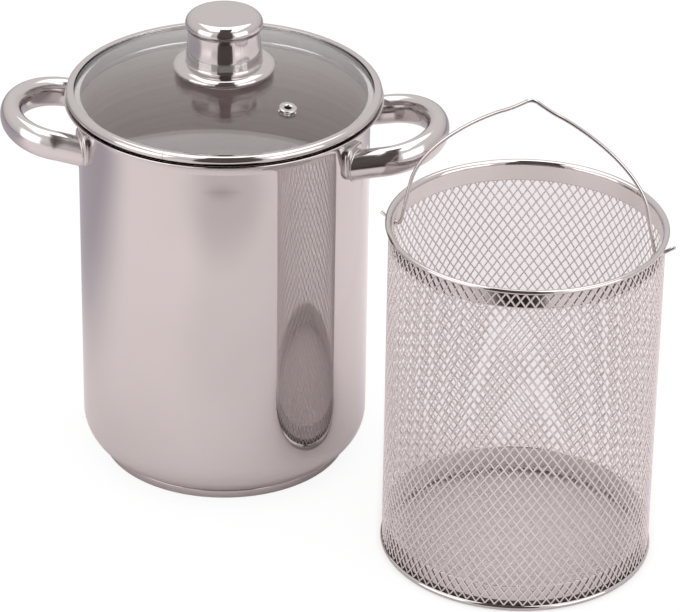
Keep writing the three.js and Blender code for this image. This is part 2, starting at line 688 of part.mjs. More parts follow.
// One half of the bail in its own plane, from the tip of an ear to the peak.
function bailHalf() {
  const at = (x, z) => new THREE.Vector3(x, 0, z);
  const slope = Math.tan(THREE.MathUtils.degToRad(EAR_SLOPE));
  const onEar = (x) => at(x, EAR_Z + (x - STRIP_MIDDLE) * slope);
  const tip = onEar(EAR_TIP);
  const hook = onEar(EAR_CORNER);
  const archFoot = at(BAIL_ARCH_HALF, BAIL_ARCH_Z);
  const shoulder = at(BAIL_SHOULDER, BAIL_SHOULDER_Z);
  const peak = at(0, BAIL_PEAK_Z);
  const mirrored = at(-BAIL_SHOULDER, BAIL_SHOULDER_Z);
  const legPull = archFoot.clone().sub(hook).setLength(BAIL_LEG_PULL).add(archFoot);
  const fall = THREE.MathUtils.degToRad(BAIL_SHOULDER_SLOPE);
  const shoulderPull = at(Math.cos(fall), -Math.sin(fall)).setLength(BAIL_SHOULDER_PULL).add(shoulder);
  const archLine = new THREE.CubicBezierCurve3(archFoot, legPull, shoulderPull, shoulder);
  const arch = archLine.getPoints(14).slice(0, -2);
  return [
    tip,
    ...bend(tip, hook, archFoot, EAR_BEND, 7),
    ...arch,
    ...bend(arch.at(-1), shoulder, peak, PEAK_BEND, 3),
    ...bend(shoulder, peak, mirrored, PEAK_BEND, 4).slice(0, 3),
  ];
}

function bail() {
  const half = bailHalf();
  const otherHalf = half.slice(0, -1).map((p) => new THREE.Vector3(-p.x, p.y, p.z));
  const points = [...half, ...otherHalf.reverse()];
  const wire = piece("bail", swept(ellipse(BAIL_WIRE, BAIL_WIRE), points, ACROSS, 3), wireSteel);
  wire.rotation.z = THREE.MathUtils.degToRad(BAIL_ANGLE);
  return wire;
}

function basket() {
  const group = new THREE.Group();
  group.position.set(BASKET_X, BASKET_Y, 0);
  group.add(basketWall(), topBand(), bottomBand(), basketFloor(), bail());
  return group;
}

const asparagusPot = new THREE.Group();
asparagusPot.add(pot(), lid(), basket());

export default asparagusPot;
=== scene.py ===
"""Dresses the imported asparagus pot: a polished pot, its glass lid and the wire basket, in a pale studio."""
import logging
import math
from collections.abc import Callable, Sequence
from dataclasses import dataclass
from enum import Enum
from typing import Any

import bmesh
import bpy
from mathutils import Matrix, Vector


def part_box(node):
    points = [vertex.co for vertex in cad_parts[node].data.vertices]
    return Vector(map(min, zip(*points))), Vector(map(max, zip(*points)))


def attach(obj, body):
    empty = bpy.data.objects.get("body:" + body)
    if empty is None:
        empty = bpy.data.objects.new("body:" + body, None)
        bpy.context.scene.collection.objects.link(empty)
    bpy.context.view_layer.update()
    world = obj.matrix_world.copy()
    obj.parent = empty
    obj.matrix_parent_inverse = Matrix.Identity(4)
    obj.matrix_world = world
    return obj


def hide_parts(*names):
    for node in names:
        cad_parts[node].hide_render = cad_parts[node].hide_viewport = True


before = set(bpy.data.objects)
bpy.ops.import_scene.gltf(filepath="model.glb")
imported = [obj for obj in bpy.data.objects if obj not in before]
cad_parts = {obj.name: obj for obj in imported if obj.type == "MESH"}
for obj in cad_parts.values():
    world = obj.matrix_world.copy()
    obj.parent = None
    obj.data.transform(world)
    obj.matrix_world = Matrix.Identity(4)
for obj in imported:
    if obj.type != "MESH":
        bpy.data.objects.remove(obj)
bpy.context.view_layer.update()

LOG = logging.getLogger("asparagus_pot")
MM = 0.001
# How near to a bend a straight face is held flat, in millimetres.
HOLD = 0.4
# How near two points are one point, and how short an edge is dropped, in metres.
MERGED = 1e-7
SLIVER = 1e-8
ROD_SIDES = 32
LINES_UV = "lines"
PRINCIPLED = "ShaderNodeBsdfPrincipled"
# Turns the drawn-out reflections from along the polishing lines to across them.
QUARTER_TURN = 0.25
UP = Vector((0, 0, 1))

Point = tuple[float, float]
Spot = tuple[float, float, float]
Ring = list[Vector]
Sizes = dict[str, float | int]
Tree = bpy.types.NodeTree
Socket = bpy.types.NodeSocket
Material = bpy.types.Material
Piece = bpy.types.Object


class Body(Enum):
    """The bodies that the joints move."""

    POT = "pot"
    LID = "lid"
    BASKET = "basket"
    BAIL = "bail"


class Slot(Enum):
    """The record's material slots, passed along with the scene's own pieces."""

    POLISHED = "polished_steel"
    WIRE = "mesh_steel"
    GLASS = "clear_glass"


class Side(Enum):
    """Which way a handle points along X."""

    LEFT = -1
    RIGHT = 1


class End(Enum):
    """Which leg of a handle, along Y."""

    FRONT = -1
    REAR = 1


def linear(hex_colour: str) -> tuple[float, float, float, float]:
    """Turns an sRGB hex colour into linear light.

    Args:
        hex_colour: six hex digits after a hash sign.

    Returns:
        Red, green, blue and an alpha of 1.
    """
    shares = [int(hex_colour[i : i + 2], 16) / 255 for i in (1, 3, 5)]
    lit = [c / 12.92 if c <= 0.04045 else ((c + 0.055) / 1.055) ** 2.4 for c in shares]
    return (*lit, 1.0)


def toned(colour: Any) -> Any:
    """Gives a hex colour in linear light, and a socket as it is."""
    return linear(colour) if isinstance(colour, str) else colour


def add_node(
    tree: Tree, kind: str, inputs: dict[str | int, Any] | None = None, **settings: Any
) -> bpy.types.Node:
    """Adds a node with its settings, values and links.

    Args:
        tree: the node tree that gets the node.
        kind: Blender's name of the node type.
        inputs: for each input, by name or number, a value or the output that feeds it.
        settings: attributes of the node itself.

    Returns:
        The new node.
    """
    node = tree.nodes.new(kind)
    for name, value in settings.items():
        setattr(node, name, value)
    for key, value in (inputs or {}).items():
        if isinstance(value, Socket):
            tree.links.new(value, node.inputs[key])
        else:
            node.inputs[key].default_value = value
    return node


def node_out(
    tree: Tree,
    kind: str,
    inputs: dict[str | int, Any] | None = None,
    output: str | int = 0,
    **settings: Any,
) -> Socket:
    """Adds a node as add_node does, and returns the output with that name or number."""
    return add_node(tree, kind, inputs, **settings).outputs[output]


def maths(tree: Tree, operation: str, *values: Any) -> Socket:
    """Adds a sum of values or sockets, by Blender's name of the operation, and returns its result."""
    return node_out(tree, "ShaderNodeMath", dict(enumerate(values)), operation=operation)


def between(tree: Tree, share: Any, low: Any, high: Any) -> Socket:
    """Blends two numbers by a share, and returns the result."""
    return node_out(tree, "ShaderNodeMix", {"Factor": share, 2: low, 3: high}, data_type="FLOAT")


def blend(tree: Tree, share: Any, under: Any, over: Any) -> Socket:
    """Blends two colours by a share, and returns the result.

    Args:
        tree: the tree to add the blend to.
        share: how much of the upper colour shows.
        under: the lower colour, as hex digits or a socket.
        over: the upper colour, as hex digits or a socket.

    Returns:
        The socket that carries the blend.
    """
    inputs = {"Factor": share, 6: toned(under), 7: toned(over)}
    return node_out(tree, "ShaderNodeMix", inputs, 2, data_type="RGBA")


def ramp(
    tree: Tree, value: Socket, start: float, stop: float, low: float = 0.0, high: float = 1.0
) -> Socket:
    """Adds a smooth step between two values.

    Args:
        tree: the tree to add it to.
        value: what is stepped.
        start: where the step begins.
        stop: where the step ends.
        low: the result before it.
        high: the result after it.

    Returns:
        The socket that carries the result.
    """
    limits = {"Value": value, "From Min": start, "From Max": stop, "To Min": low, "To Max": high}
    return node_out(tree, "ShaderNodeMapRange", limits, interpolation_type="SMOOTHSTEP")


def own_place(tree: Tree) -> Socket:
    """Returns the socket with the place on the piece, in metres."""
    return node_out(tree, "ShaderNodeTexCoord", output="Object")


def noise(
    tree: Tree, place: Socket, size_mm: float, detail: float, contrast: float = 0.5, dimensions: str = "3D"
) -> Socket:
    """Adds a noise.

    Args:
        tree: the tree to add it to.
        place: where it is read, in metres.
        size_mm: the size of its grains.
        detail: how many finer layers it has.
        contrast: how strong each finer layer is.
        dimensions: Blender's name of the number of dimensions.

    Returns:
        The socket that carries its value.
    """
    inputs = {"Vector": place, "Scale": 1 / (size_mm * MM), "Detail": detail, "Roughness": contrast}
    return node_out(tree, "ShaderNodeTexNoise", inputs, "Fac", noise_dimensions=dimensions)


def wear(tree: Tree, share: Socket, middle: float, spread: float) -> Socket:
    """Varies a roughness by a spread to each side of its middle, and returns the result."""
    limits = {"Value": share, "To Min": middle - spread, "To Max": middle + spread}
    return node_out(tree, "ShaderNodeMapRange", limits)


def relief(tree: Tree, height: Socket, strength: float, depth_mm: float) -> Socket:
    """Adds a bump with a depth in millimetres, and returns its normal."""
    inputs = {"Height": height, "Strength": strength, "Distance": depth_mm * MM}
    return node_out(tree, "ShaderNodeBump", inputs)


def surface(tree: Tree, kind: str, inputs: dict[str | int, Any]) -> None:
    """Ends a material's tree in a shader, by Blender's name of it."""
    add_node(tree, "ShaderNodeOutputMaterial", {"Surface": node_out(tree, kind, inputs)})


def blank_material(name: str) -> tuple[Material, Tree]:
    """Makes an empty material with nodes.

    Args:
        name: the material's name.

    Returns:
        The material and its node tree.
    """
    material = bpy.data.materials.new(name)
    material.use_nodes = True
    material.node_tree.nodes.clear()
    return material, material.node_tree


@dataclass(frozen=True)
class Finish:
    """A finish: a name, and what feeds its shader."""

    name: str

    def inputs(self, tree: Tree) -> dict[str, Any]:
        """Adds the nodes that feed the shader.

        Args:
            tree: the material's tree.

        Returns:
            The shader's inputs by name.
        """
        raise NotImplementedError

    def material(self) -> Material:
        """Builds the material.

        Returns:
            A new material with the finish's name.
        """
        material, tree = blank_material(self.name)
        surface(tree, PRINCIPLED, self.inputs(tree))
        return material


@dataclass(frozen=True)
class TurnedSteel(Finish):
    """Stainless sheet that was spun and polished on a lathe.

    The polishing wheel leaves fine lines round the axis, so reflections stay sharp sideways and are drawn
    out along the axis.
    """

    colour: str = "#CECAC9"
    drift_colour: str = "#C5C1C0"
    metallic: float = 1.0
    roughness: float = 0.05
    roughness_spread: float = 0.02
    anisotropy: float = 0.3
    line_pitch_mm: float = 0.9
    line_depth_mm: float = 0.002
    line_strength: float = 0.15
    line_tint: float = 0.0
    line_detail: float = 3.0
    line_contrast: float = 0.6
    drift_mm: float = 55.0
    centre_mm: Point = (0.0, 0.0)

    def inputs(self, tree: Tree) -> dict[str, Any]:
        """Lays lines round the vertical axis at centre_mm."""
        shift = (-self.centre_mm[0] * MM, -self.centre_mm[1] * MM, 0)
        centred = node_out(tree, "ShaderNodeMapping", {0: own_place(tree), "Location": shift})
        parts = add_node(tree, "ShaderNodeSeparateXYZ", {0: centred})
        flat = node_out(tree, "ShaderNodeCombineXYZ", {"X": parts.outputs["X"], "Y": parts.outputs["Y"]})
        radius = node_out(tree, "ShaderNodeVectorMath", {0: flat}, "Value", operation="LENGTH")
        across = node_out(tree, "ShaderNodeCombineXYZ", {"X": radius, "Y": parts.outputs["Z"]})
        lines = noise(tree, across, self.line_pitch_mm, self.line_detail, self.line_contrast, "2D")
        drift = noise(tree, centred, self.drift_mm, 2.0)
        shade = between(tree, self.line_tint, drift, lines)
        return {
            "Base Color": blend(tree, shade, self.colour, self.drift_colour),
            "Metallic": self.metallic,
            "Roughness": wear(tree, lines, self.roughness, self.roughness_spread),
            "Anisotropic": self.anisotropy,
            "Anisotropic Rotation": QUARTER_TURN,
            "Normal": relief(tree, lines, self.line_strength, self.line_depth_mm),
            "Tangent": node_out(tree, "ShaderNodeTangent", direction_type="UV_MAP", uv_map=LINES_UV),
        }


@dataclass(frozen=True)
class DrawnSteel(Finish):
    """Stainless tube or wire that was pulled through a die and buffed.

    The die leaves faint lines along its length, which the bump follows on the piece's own UV map, in
    millimetres.
    """

    colour: str = "#D2CECD"
    drift_colour: str = "#C8C4C3"
    roughness: float = 0.15
    roughness_spread: float = 0.04
    line_pitch_mm: float = 0.8
    line_length_mm: float = 30.0
    line_depth_mm: float = 0.003
    line_strength: float = 0.15
    drift_mm: float = 40.0

    def inputs(self, tree: Tree) -> dict[str, Any]:
        """Lays lines along the V of the piece's UV map."""
        own = node_out(tree, "ShaderNodeUVMap", uv_map=LINES_UV)
        pitches = (1 / self.line_pitch_mm, 1 / self.line_length_mm, 1)
        stretched = node_out(tree, "ShaderNodeMapping", {0: own, "Scale": pitches})
        # One grain is one unit of the stretched map.
        lines = noise(tree, stretched, 1 / MM, 3.0, dimensions="2D")
        drift = noise(tree, own_place(tree), self.drift_mm, 2.0)
        return {
            "Base Color": blend(tree, drift, self.colour, self.drift_colour),
            "Metallic": 1.0,
            "Roughness": wear(tree, drift, self.roughness, self.roughness_spread),
            "Normal": relief(tree, lines, self.line_strength, self.line_depth_mm),
        }


@dataclass(frozen=True)
class PressedMetal(Finish):
    """Metal that was stamped, cast or welded and left with an even satin grain."""

    colour: str
    drift_colour: str
    roughness: float
    metallic: float = 1.0
    roughness_spread: float = 0.08
    grain_mm: float = 0.8
    grain_depth_mm: float = 0.01
    grain_strength: float = 0.3

    def inputs(self, tree: Tree) -> dict[str, Any]:
        """Lays a fine even grain."""
        grain = noise(tree, own_place(tree), self.grain_mm, 4.0)
        return {
            "Base Color": blend(tree, grain, self.colour, self.drift_colour),
            "Metallic": self.metallic,
            "Roughness": wear(tree, grain, self.roughness, self.roughness_spread),
            "Normal": relief(tree, grain, self.grain_strength, self.grain_depth_mm),
        }


@dataclass(frozen=True)
class ToughenedGlass(Finish):
    """Soda-lime glass that was pressed over a mould and toughened: clear, with a slow ripple."""

    name: str = "toughened_glass_pressed"
    colour: str = "#FDFCFC"
    ior: float = 1.52
    roughness: float = 0.012
    ripple_mm: float = 28.0
    ripple_depth_mm: float = 0.02
    ripple_strength: float = 0.2
    haze_mm: float = 9.0

    def inputs(self, tree: Tree) -> dict[str, Any]:
        """Lays a slow ripple and a trace of haze."""
        place = own_place(tree)
        ripple = noise(tree, place, self.ripple_mm, 1.0)
        haze = noise(tree, place, self.haze_mm, 3.0)
        return {
            "Base Color": linear(self.colour),
            "Roughness": wear(tree, haze, self.roughness / 2, self.roughness / 2),
            "IOR": self.ior,
            "Transmission Weight": 1.0,
            "Normal": relief(tree, ripple, self.ripple_strength, self.ripple_depth_mm),
        }


@dataclass(frozen=True)
class SiliconeRubber(Finish):
    """Moulded silicone: milky, soft-edged in the light, with a fine mould grain."""

    name: str = "silicone_moulded"
    colour: str = "#D8D8D4"
    drift_colour: str = "#CBCBC6"
    ior: float = 1.41
    roughness: float = 0.55
    grain_mm: float = 0.5
    grain_depth_mm: float = 0.02
    grain_strength: float = 0.2

    def inputs(self, tree: Tree) -> dict[str, Any]:
        """Lays a fine mould grain."""
        grain = noise(tree, own_place(tree), self.grain_mm, 3.0)
        return {
            "Base Color": blend(tree, grain, self.colour, self.drift_colour),
            "Roughness": self.roughness,
            "IOR": self.ior,
            "Normal": relief(tree, grain, self.grain_strength, self.grain_depth_mm),
        }


def arc(centre: Point, radius: float, start: float, end: float, steps: int) -> list[Point]:
    """Lists points on an arc.

    Args:
        centre: the arc's centre, in millimetres.
        radius: the arc's radius, in millimetres.
        start: the first angle, in degrees.
        end: the last angle, in degrees.
        steps: how many steps lie between them.

    Returns:
        steps + 1 points.
    """
    turns = [math.radians(start + (end - start) * i / steps) for i in range(steps + 1)]
    return [(centre[0] + radius * math.cos(t), centre[1] + radius * math.sin(t)) for t in turns]


def even_angles(count: int) -> list[float]:
    """Lists evenly spaced angles of a full turn, in radians."""
    return [2 * math.pi * i / count for i in range(count)]


def ellipse(half_width: float, half_height: float, sides: int) -> list[Point]:
    """Lists the points of an ellipse about the origin."""
    return [(half_width * math.cos(t), half_height * math.sin(t)) for t in even_angles(sides)]


def turned_rings(outline: Sequence[Point], angles: Sequence[float]) -> list[Ring]:
    """Turns an outline of radius and height about Z into one ring for each of its points.

    Args:
        outline: radius and height of each point, in millimetres.
        angles: the angles round the axis, in radians.

    Returns:
        The rings, in the outline's order.
    """
    return [[Vector((r * math.cos(t), r * math.sin(t), z)) for t in angles] for r, z in outline]


def swept_rings(path: Sequence[Vector], section: Sequence[Point], upright: Vector) -> list[Ring]:
    """Sweeps a section along a path.

    Args:
        path: the path's points, in millimetres.
        section: the section's points, across the path and towards its upright.
        upright: a direction that the path never takes.

    Returns:
        One ring for each point of the path.
    """
    rings = []
    last = len(path) - 1
    for i, here in enumerate(path):
        along = (path[min(i + 1, last)] - path[max(i - 1, 0)]).normalized()
        across = along.cross(upright).normalized()
        rise = across.cross(along)
        rings.append([here + across * u + rise * v for u, v in section])
    return rings


def linked(name: str, data: Any) -> Piece:
    """Makes an object of a mesh, lamp or camera, links it to the scene and returns it."""
    made = bpy.data.objects.new(name, data)
    bpy.context.scene.collection.objects.link(made)
    return made


def discard(spent: Piece) -> None:
    """Removes an object with its mesh."""
    mesh = spent.data
    bpy.data.objects.remove(spent)
    bpy.data.meshes.remove(mesh)


def finish_mesh(name: str, mesh: bpy.types.Mesh, finishes: Sequence[Material], sharp: float) -> Piece:
    """Makes an object of a mesh, smooth but for edges sharper than an angle.

    Args:
        name: the piece's name.
        mesh: its mesh, in metres, in its place.
        finishes: its materials.
        sharp: the angle in degrees past which an edge stays hard.

    Returns:
        The piece, linked to the scene.
    """
    mesh.name = name
    numbers = [min(face.material_index, len(finishes) - 1) for face in mesh.polygons]
    mesh.materials.clear()
    for finish in finishes:
        mesh.materials.append(finish)
    mesh.polygons.foreach_set("material_index", numbers)
    mesh.shade_smooth()
    mesh.set_sharp_from_angle(angle=math.radians(sharp))
    return linked(name, mesh)


def skin(
    name: str,
    rings: Sequence[Ring],
    finishes: Sequence[Material],
    *,
    wrap: bool = False,
    cap: bool = False,
    slot_of: Callable[[int], int] = lambda ring: 0,
    place: Matrix = Matrix.Identity(4),
    sharp: float = 40.0,
) -> Piece:
    """Skins closed rings of points with quads, with a UV map in millimetres that runs round and along them.

    Args:
        name: the piece's name.
        rings: the rings, all with as many points, in millimetres.
        finishes: the piece's materials.
        wrap: whether the last ring joins the first.
        cap: whether the first and last rings are closed by a face.
        slot_of: gives the material's number for the faces after a ring.
        place: where the piece goes, in millimetres.
        sharp: the angle in degrees past which an edge stays hard.

    Returns:
        The piece, linked to the scene.
    """
    built = bmesh.new()
    layer = built.loops.layers.uv.new(LINES_UV)
    sides = len(rings[0])
    grid = [[built.verts.new((place @ p) * MM) for p in ring] for ring in rings]
    widest = max(rings, key=lambda ring: (ring[1] - ring[0]).length)
    step = (widest[1] - widest[0]).length
    lengths = [0.0]
    for before, after in zip(rings, [*rings[1:], rings[0]]):
        lengths.append(lengths[-1] + max((a - b).length for a, b in zip(before, after)))
    for i in range(len(rings) if wrap else len(rings) - 1):
        after = grid[(i + 1) % len(rings)]
        for j in range(sides):
            k = (j + 1) % sides
            face = built.faces.new((grid[i][j], grid[i][k], after[k], after[j]))
            face.material_index = slot_of(i)
            corners = ((j, i), (j + 1, i), (j + 1, i + 1), (j, i + 1))
            for loop, (u, v) in zip(face.loops, corners):
                loop[layer].uv = (u * step, lengths[v])
    if cap:
        built.faces.new(grid[0][::-1])
        built.faces.new(grid[-1])
    bmesh.ops.remove_doubles(built, verts=built.verts, dist=MERGED)
    bmesh.ops.dissolve_degenerate(built, edges=built.edges, dist=SLIVER)
    bmesh.ops.recalc_face_normals(built, faces=built.faces)
    mesh = bpy.data.meshes.new(name)
    built.to_mesh(mesh)
    built.free()
    return finish_mesh(name, mesh, finishes, sharp)


def plain_mesh(holder: Piece) -> bpy.types.Mesh:
    """Turns an object with modifiers into a plain mesh, and removes the object.

    Args:
        holder: the object with live modifiers.

    Returns:
        The evaluated mesh.
    """
    graph = bpy.context.evaluated_depsgraph_get()
    mesh = bpy.data.meshes.new_from_object(holder.evaluated_get(graph))
    holder.modifiers.clear()
    discard(holder)
    return mesh


def drilled(piece: Piece, rods: Sequence[Piece], sharp: float = 40.0) -> Piece:
    """Cuts rods out of a piece and removes them.

    Args:
        piece: the piece to drill.
        rods: closed objects to take away from it.
        sharp: the angle in degrees past which an edge stays hard.

    Returns:
        The drilled piece, under the same name.
    """
    name = piece.name
    finishes = list(piece.data.materials)
    for tool in rods:
        cut = piece.modifiers.new("cut", "BOOLEAN")
        cut.object = tool
        cut.operation = "DIFFERENCE"
        cut.solver = "EXACT"
    mesh = plain_mesh(piece)
    for tool in rods:
        discard(tool)
    return finish_mesh(name, mesh, finishes, sharp)


def rod(radius: float, half_length: float, place: Matrix) -> Piece:
    """Makes a closed rod about Z to drill with.

    Args:
        radius: its radius, in millimetres.
        half_length: how far it reaches to each side.
        place: where its middle goes, in millimetres.

    Returns:
        The rod.
    """
    outline = [(radius, -half_length), (radius, half_length)]
    rings = turned_rings(outline, even_angles(ROD_SIDES))
    return skin("rod", rings, [], cap=True, place=place)


@dataclass(frozen=True)
class Finishes:
    """Every finish of the part, made once."""

    outer_wall: Material
    inner_wall: Material
    fittings: Material
    tube: Material
    weld: Material
    basket_band: Material
    strip_painted_light: Material
    basket_painted_shade: Material
    wire: Material
    strand: Material
    glass: Material
    aluminium: Material
    silicone: Material

    @classmethod
    def made(cls, basket_centre_mm: Point) -> "Finishes":
        """Makes the finishes.

        Args:
            basket_centre_mm: where the basket's axis meets the floor.

        Returns:
            The finishes.
        """
        recipes = {
            # Polished outside: nearly a mirror, drawn out along the axis by lines too fine to see, so they
            # are drawn at 0.9 mm.
            "outer_wall": TurnedSteel("stainless_steel_polished_wall"),
            # Brushed inside: a soft grey sheen with lines round the wall.
            "inner_wall": TurnedSteel(
                "stainless_steel_brushed_inside",
                colour="#DACDCB",
                drift_colour="#B4A7A5",
                metallic=0.8,
                roughness=0.4,
                roughness_spread=0.1,
                line_pitch_mm=2.2,
                line_depth_mm=0.02,
                line_strength=0.5,
                line_tint=0.7,
            ),
            # Spun lid fittings: bright, a little softer than the wall.
            "fittings": TurnedSteel(
                "stainless_steel_polished_fittings", roughness=0.11, roughness_spread=0.03, anisotropy=0.4
            ),
            # Drawn tube: bright, with faint lines along the loop.
            "tube": DrawnSteel("stainless_steel_polished_tube"),
            # Welds: stamped plates and beads with a slightly grainy polish.
            "weld": PressedMetal("stainless_steel_stamped_plate", "#D0CCCB", "#C0BCBB", 0.16),
            # The outside of the basket's two strips, with their beads: rolled and polished.
            "basket_band": TurnedSteel(
                "stainless_steel_rolled_band", roughness=0.06, centre_mm=basket_centre_mm
            ),
            # The inside of the two strips that hold the mesh: satin, with painted light, a paler and mostly
            # matte copy of the steel, so they stay pale in the basket's shade.
            "strip_painted_light": TurnedSteel(
                "stainless_steel_satin_strip",
                colour="#DED7D6",
                drift_colour="#D2CBCA",
                metallic=0.3,
                roughness=0.4,
                centre_mm=basket_centre_mm,
            ),
            # Painted shade over the foot's bead: a dull, dark band that stands in for the deep shade between
            # the bead, the strip and the mesh.
            "basket_painted_shade": PressedMetal("stainless_steel_painted_shade", "#5A5453", "#4A4544", 0.4, 0.8),
            # Drawn wire of the bail: finer lines than the tube's.
            "wire": DrawnSteel("stainless_steel_drawn_wire", roughness=0.16, line_pitch_mm=0.5),
            # Expanded mesh: satin strands that catch light on their round backs.
            "strand": PressedMetal("stainless_steel_expanded_mesh", "#DDD5D5", "#CFC7C7", 0.38, 0.55),
            "glass": ToughenedGlass(),
            # The heat disc and the knob's insert: dull cast metal.
            "aluminium": PressedMetal("aluminium_cast", "#C4C6C8", "#A9ABAD", 0.45),
            "silicone": SiliconeRubber(),
        }
        return cls(**{name: recipe.material() for name, recipe in recipes.items()})


@dataclass
class Assembly:
    """Pieces that ride on one body."""

    finishes: Finishes
    body: Body
    segments: int = 192

    def fit(self, piece: Piece, slot: Slot, *nodes: str) -> Piece:
        """Hangs a finished piece on the body in place of CAD nodes.

        Args:
            piece: the piece, in place.
            slot: the record's material slot for the piece; not used.
            nodes: the CAD nodes that it stands for.

        Returns:
            The piece.
        """
        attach(piece, self.body.value)
        if nodes:
            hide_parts(*nodes)
        LOG.info("%s: %d faces on %s", piece.name, len(piece.data.polygons), self.body.value)
        return piece

    def turn(
        self,
        name: str,
        node: str,
        outline: Sequence[Point],
        *finishes: Material,
        segments: int = 0,
        **how: Any,
    ) -> None:
        """Turns an outline about Z and fits it in place of a CAD node.

        Args:
            name: the piece's name.
            node: the CAD node that it stands for.
            outline: radius and height of each point, in millimetres.
            finishes: its materials.
            segments: how many sides it has, where that isn't the assembly's own number.
            how: what skin is told besides.
        """
        rings = turned_rings(outline, even_angles(segments or self.segments))
        self.fit(skin(name, rings, finishes, **how), Slot.POLISHED, node)

    def dress_node(self, node: str, finish: Material) -> None:
        """Gives a CAD node that stays in the picture its finish."""
        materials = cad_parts[node].data.materials
        materials.clear()
        materials.append(finish)
        LOG.info("%s: CAD node with %s", node, finish.name)


@dataclass
class Pot(Assembly):
    """The shell, its base and its two welded tube handles, in millimetres."""

    body: Body = Body.POT
    radius: float = 81.0
    wall: float = 0.8
    corner: float = 20.0
    bottom_z: float = 3.1
    flare_z: float = 210.0
    flare_radius: float = 7.65
    flare_angle: float = 88.0
    flare_ease: float = 10.0
    lip_steps: int = 8
    base_radius: float = 70.2
    base_height: float = 5.0
    base_sheet: float = 0.6
    base_edge: float = 1.4
    base_lip: float = 0.25
    handle_z: float = 197.5
    handle_rise: float = 6.2
    half_span: float = 33.0
    leg_spread: float = 3.0
    root_x: float = 61.0
    bend_x: float = 90.2
    loop_depth: float = 28.36
    tube_half_width: float = 6.4
    tube_half_height: float = 8.5
    tube_sides: int = 40
    root_radius: float = 83.6
    straight_from: float = 0.68
    leg_steps: int = 8
    plate_y: float = 33.3
    plate_z: float = 199.5
    plate_half_width: float = 9.0
    plate_half_height: float = 10.0
    plate_corner: float = 6.0
    plate_corner_least: float = 1.0
    # How far in from the plate's outline, and how far out from the wall.
    plate_profile: tuple[Point, ...] = (
        (0.0, 0.0), (0.0, 1.5), (0.25, 2.1), (0.7, 2.5), (1.5, 2.7), (4.0, 2.7)
    )
    bead: float = 0.75
    bead_out: float = 0.15
    bead_sides: int = 8

    def build(self) -> None:
        """Builds and dresses every piece of the pot."""
        self.shell()
        self.base()
        self.dress_node("base_core", self.finishes.aluminium)
        for side in Side:
            self.handle(side)

    def lip(self) -> list[Point]:
        """Lists the flare's outer face, its rounded edge and its inner face.

        Returns:
            Points from the wall's outside over the edge to its inside.
        """
        centre = (self.radius + self.flare_radius, self.flare_z)
        half = self.wall / 2
        middle = self.flare_radius + half
        end = 180 - self.flare_angle + math.degrees(half / middle)
        edge = []
        for i in range(1, self.lip_steps):
            t = math.pi * i / self.lip_steps
            turn = math.radians(end) - half * math.sin(t) / middle
            reach = middle - half * math.cos(t)
            edge.append((centre[0] + reach * math.cos(turn), centre[1] + reach * math.sin(turn)))
        return [
            *arc(centre, self.flare_radius, 180, end, 14),
            *edge,
            *arc(centre, self.flare_radius + self.wall, end, 180, 14),
        ]

    def shell(self) -> None:
        """Builds the deep-drawn shell, polished outside and brushed inside."""
        centre = (self.radius - self.corner, self.bottom_z + self.corner)
        low, high = centre[1] + HOLD, self.flare_z - self.flare_ease
        inner = self.radius - self.wall
        outside = [
            (0.0, self.bottom_z),
            *arc(centre, self.corner, -90, 0, 20),
            (self.radius, low),
            (self.radius, high),
            *self.lip(),
        ]
        inside = [
            (inner, high),
            (inner, low),
            *arc(centre, self.corner - self.wall, 0, -90, 20),
            (0.0, self.bottom_z + self.wall),
        ]
        self.turn(
            "pot_shell_polished",
            "pot_shell",
            [*outside, *inside],
            self.finishes.outer_wall,
            self.finishes.inner_wall,
            slot_of=lambda ring: int(ring >= len(outside) - 1),
        )

    def base(self) -> None:
        """Builds the dish that closes the heat disc."""
        edge, lip = self.base_edge, self.base_lip
        inner = self.base_radius - self.base_sheet
        outline = [
            (0.0, 0.0),
            *arc((self.base_radius - edge, edge), edge, -90, 0, 8),
            *arc((self.base_radius - lip, self.base_height - lip), lip, 0, 90, 5),
            (inner, self.base_height - self.base_sheet / 2),
            (inner, self.base_sheet),
            (0.0, self.base_sheet),
        ]
        self.turn("base_dish", "base_cap", outline, self.finishes.fittings)

    def handle_path(self) -> list[Vector]:
        """Lists the centre line of the right handle, from one leg's straight part to the other's."""
        slope = self.handle_rise / (self.bend_x + self.loop_depth - self.radius)
        root = (self.root_x, self.half_span + self.leg_spread)
        knee = (self.radius, self.half_span)
        bend = (self.bend_x, self.half_span)
        leg = []
        for i in range(self.leg_steps):
            t = self.straight_from + (1 - self.straight_from) * i / self.leg_steps
            shares = ((1 - t) ** 2, 2 * t * (1 - t), t * t)
            leg.append(tuple(sum(s * p[k] for s, p in zip(shares, (root, knee, bend))) for k in (0, 1)))
        turn = [
            (self.bend_x + self.loop_depth * x, self.half_span * y)
            for x, y in arc((0.0, 0.0), 1.0, 90, -90, 56)
        ]
        line = [*leg, *turn, *((x, -y) for x, y in reversed(leg))]
        return [Vector((x, y, self.handle_z + slope * (x - self.radius))) for x, y in line]

    def onto_plate(self, ring: Ring, along: Vector) -> Ring:
        """Slides a ring's points along a direction until they meet the plate's face."""
        met = []
        for p in ring:
            a = along.x**2 + along.y**2
            b = p.x * along.x + p.y * along.y
            c = p.x**2 + p.y**2 - self.root_radius**2
            met.append(p + along * ((-b + math.sqrt(b * b - a * c)) / a))
        return met

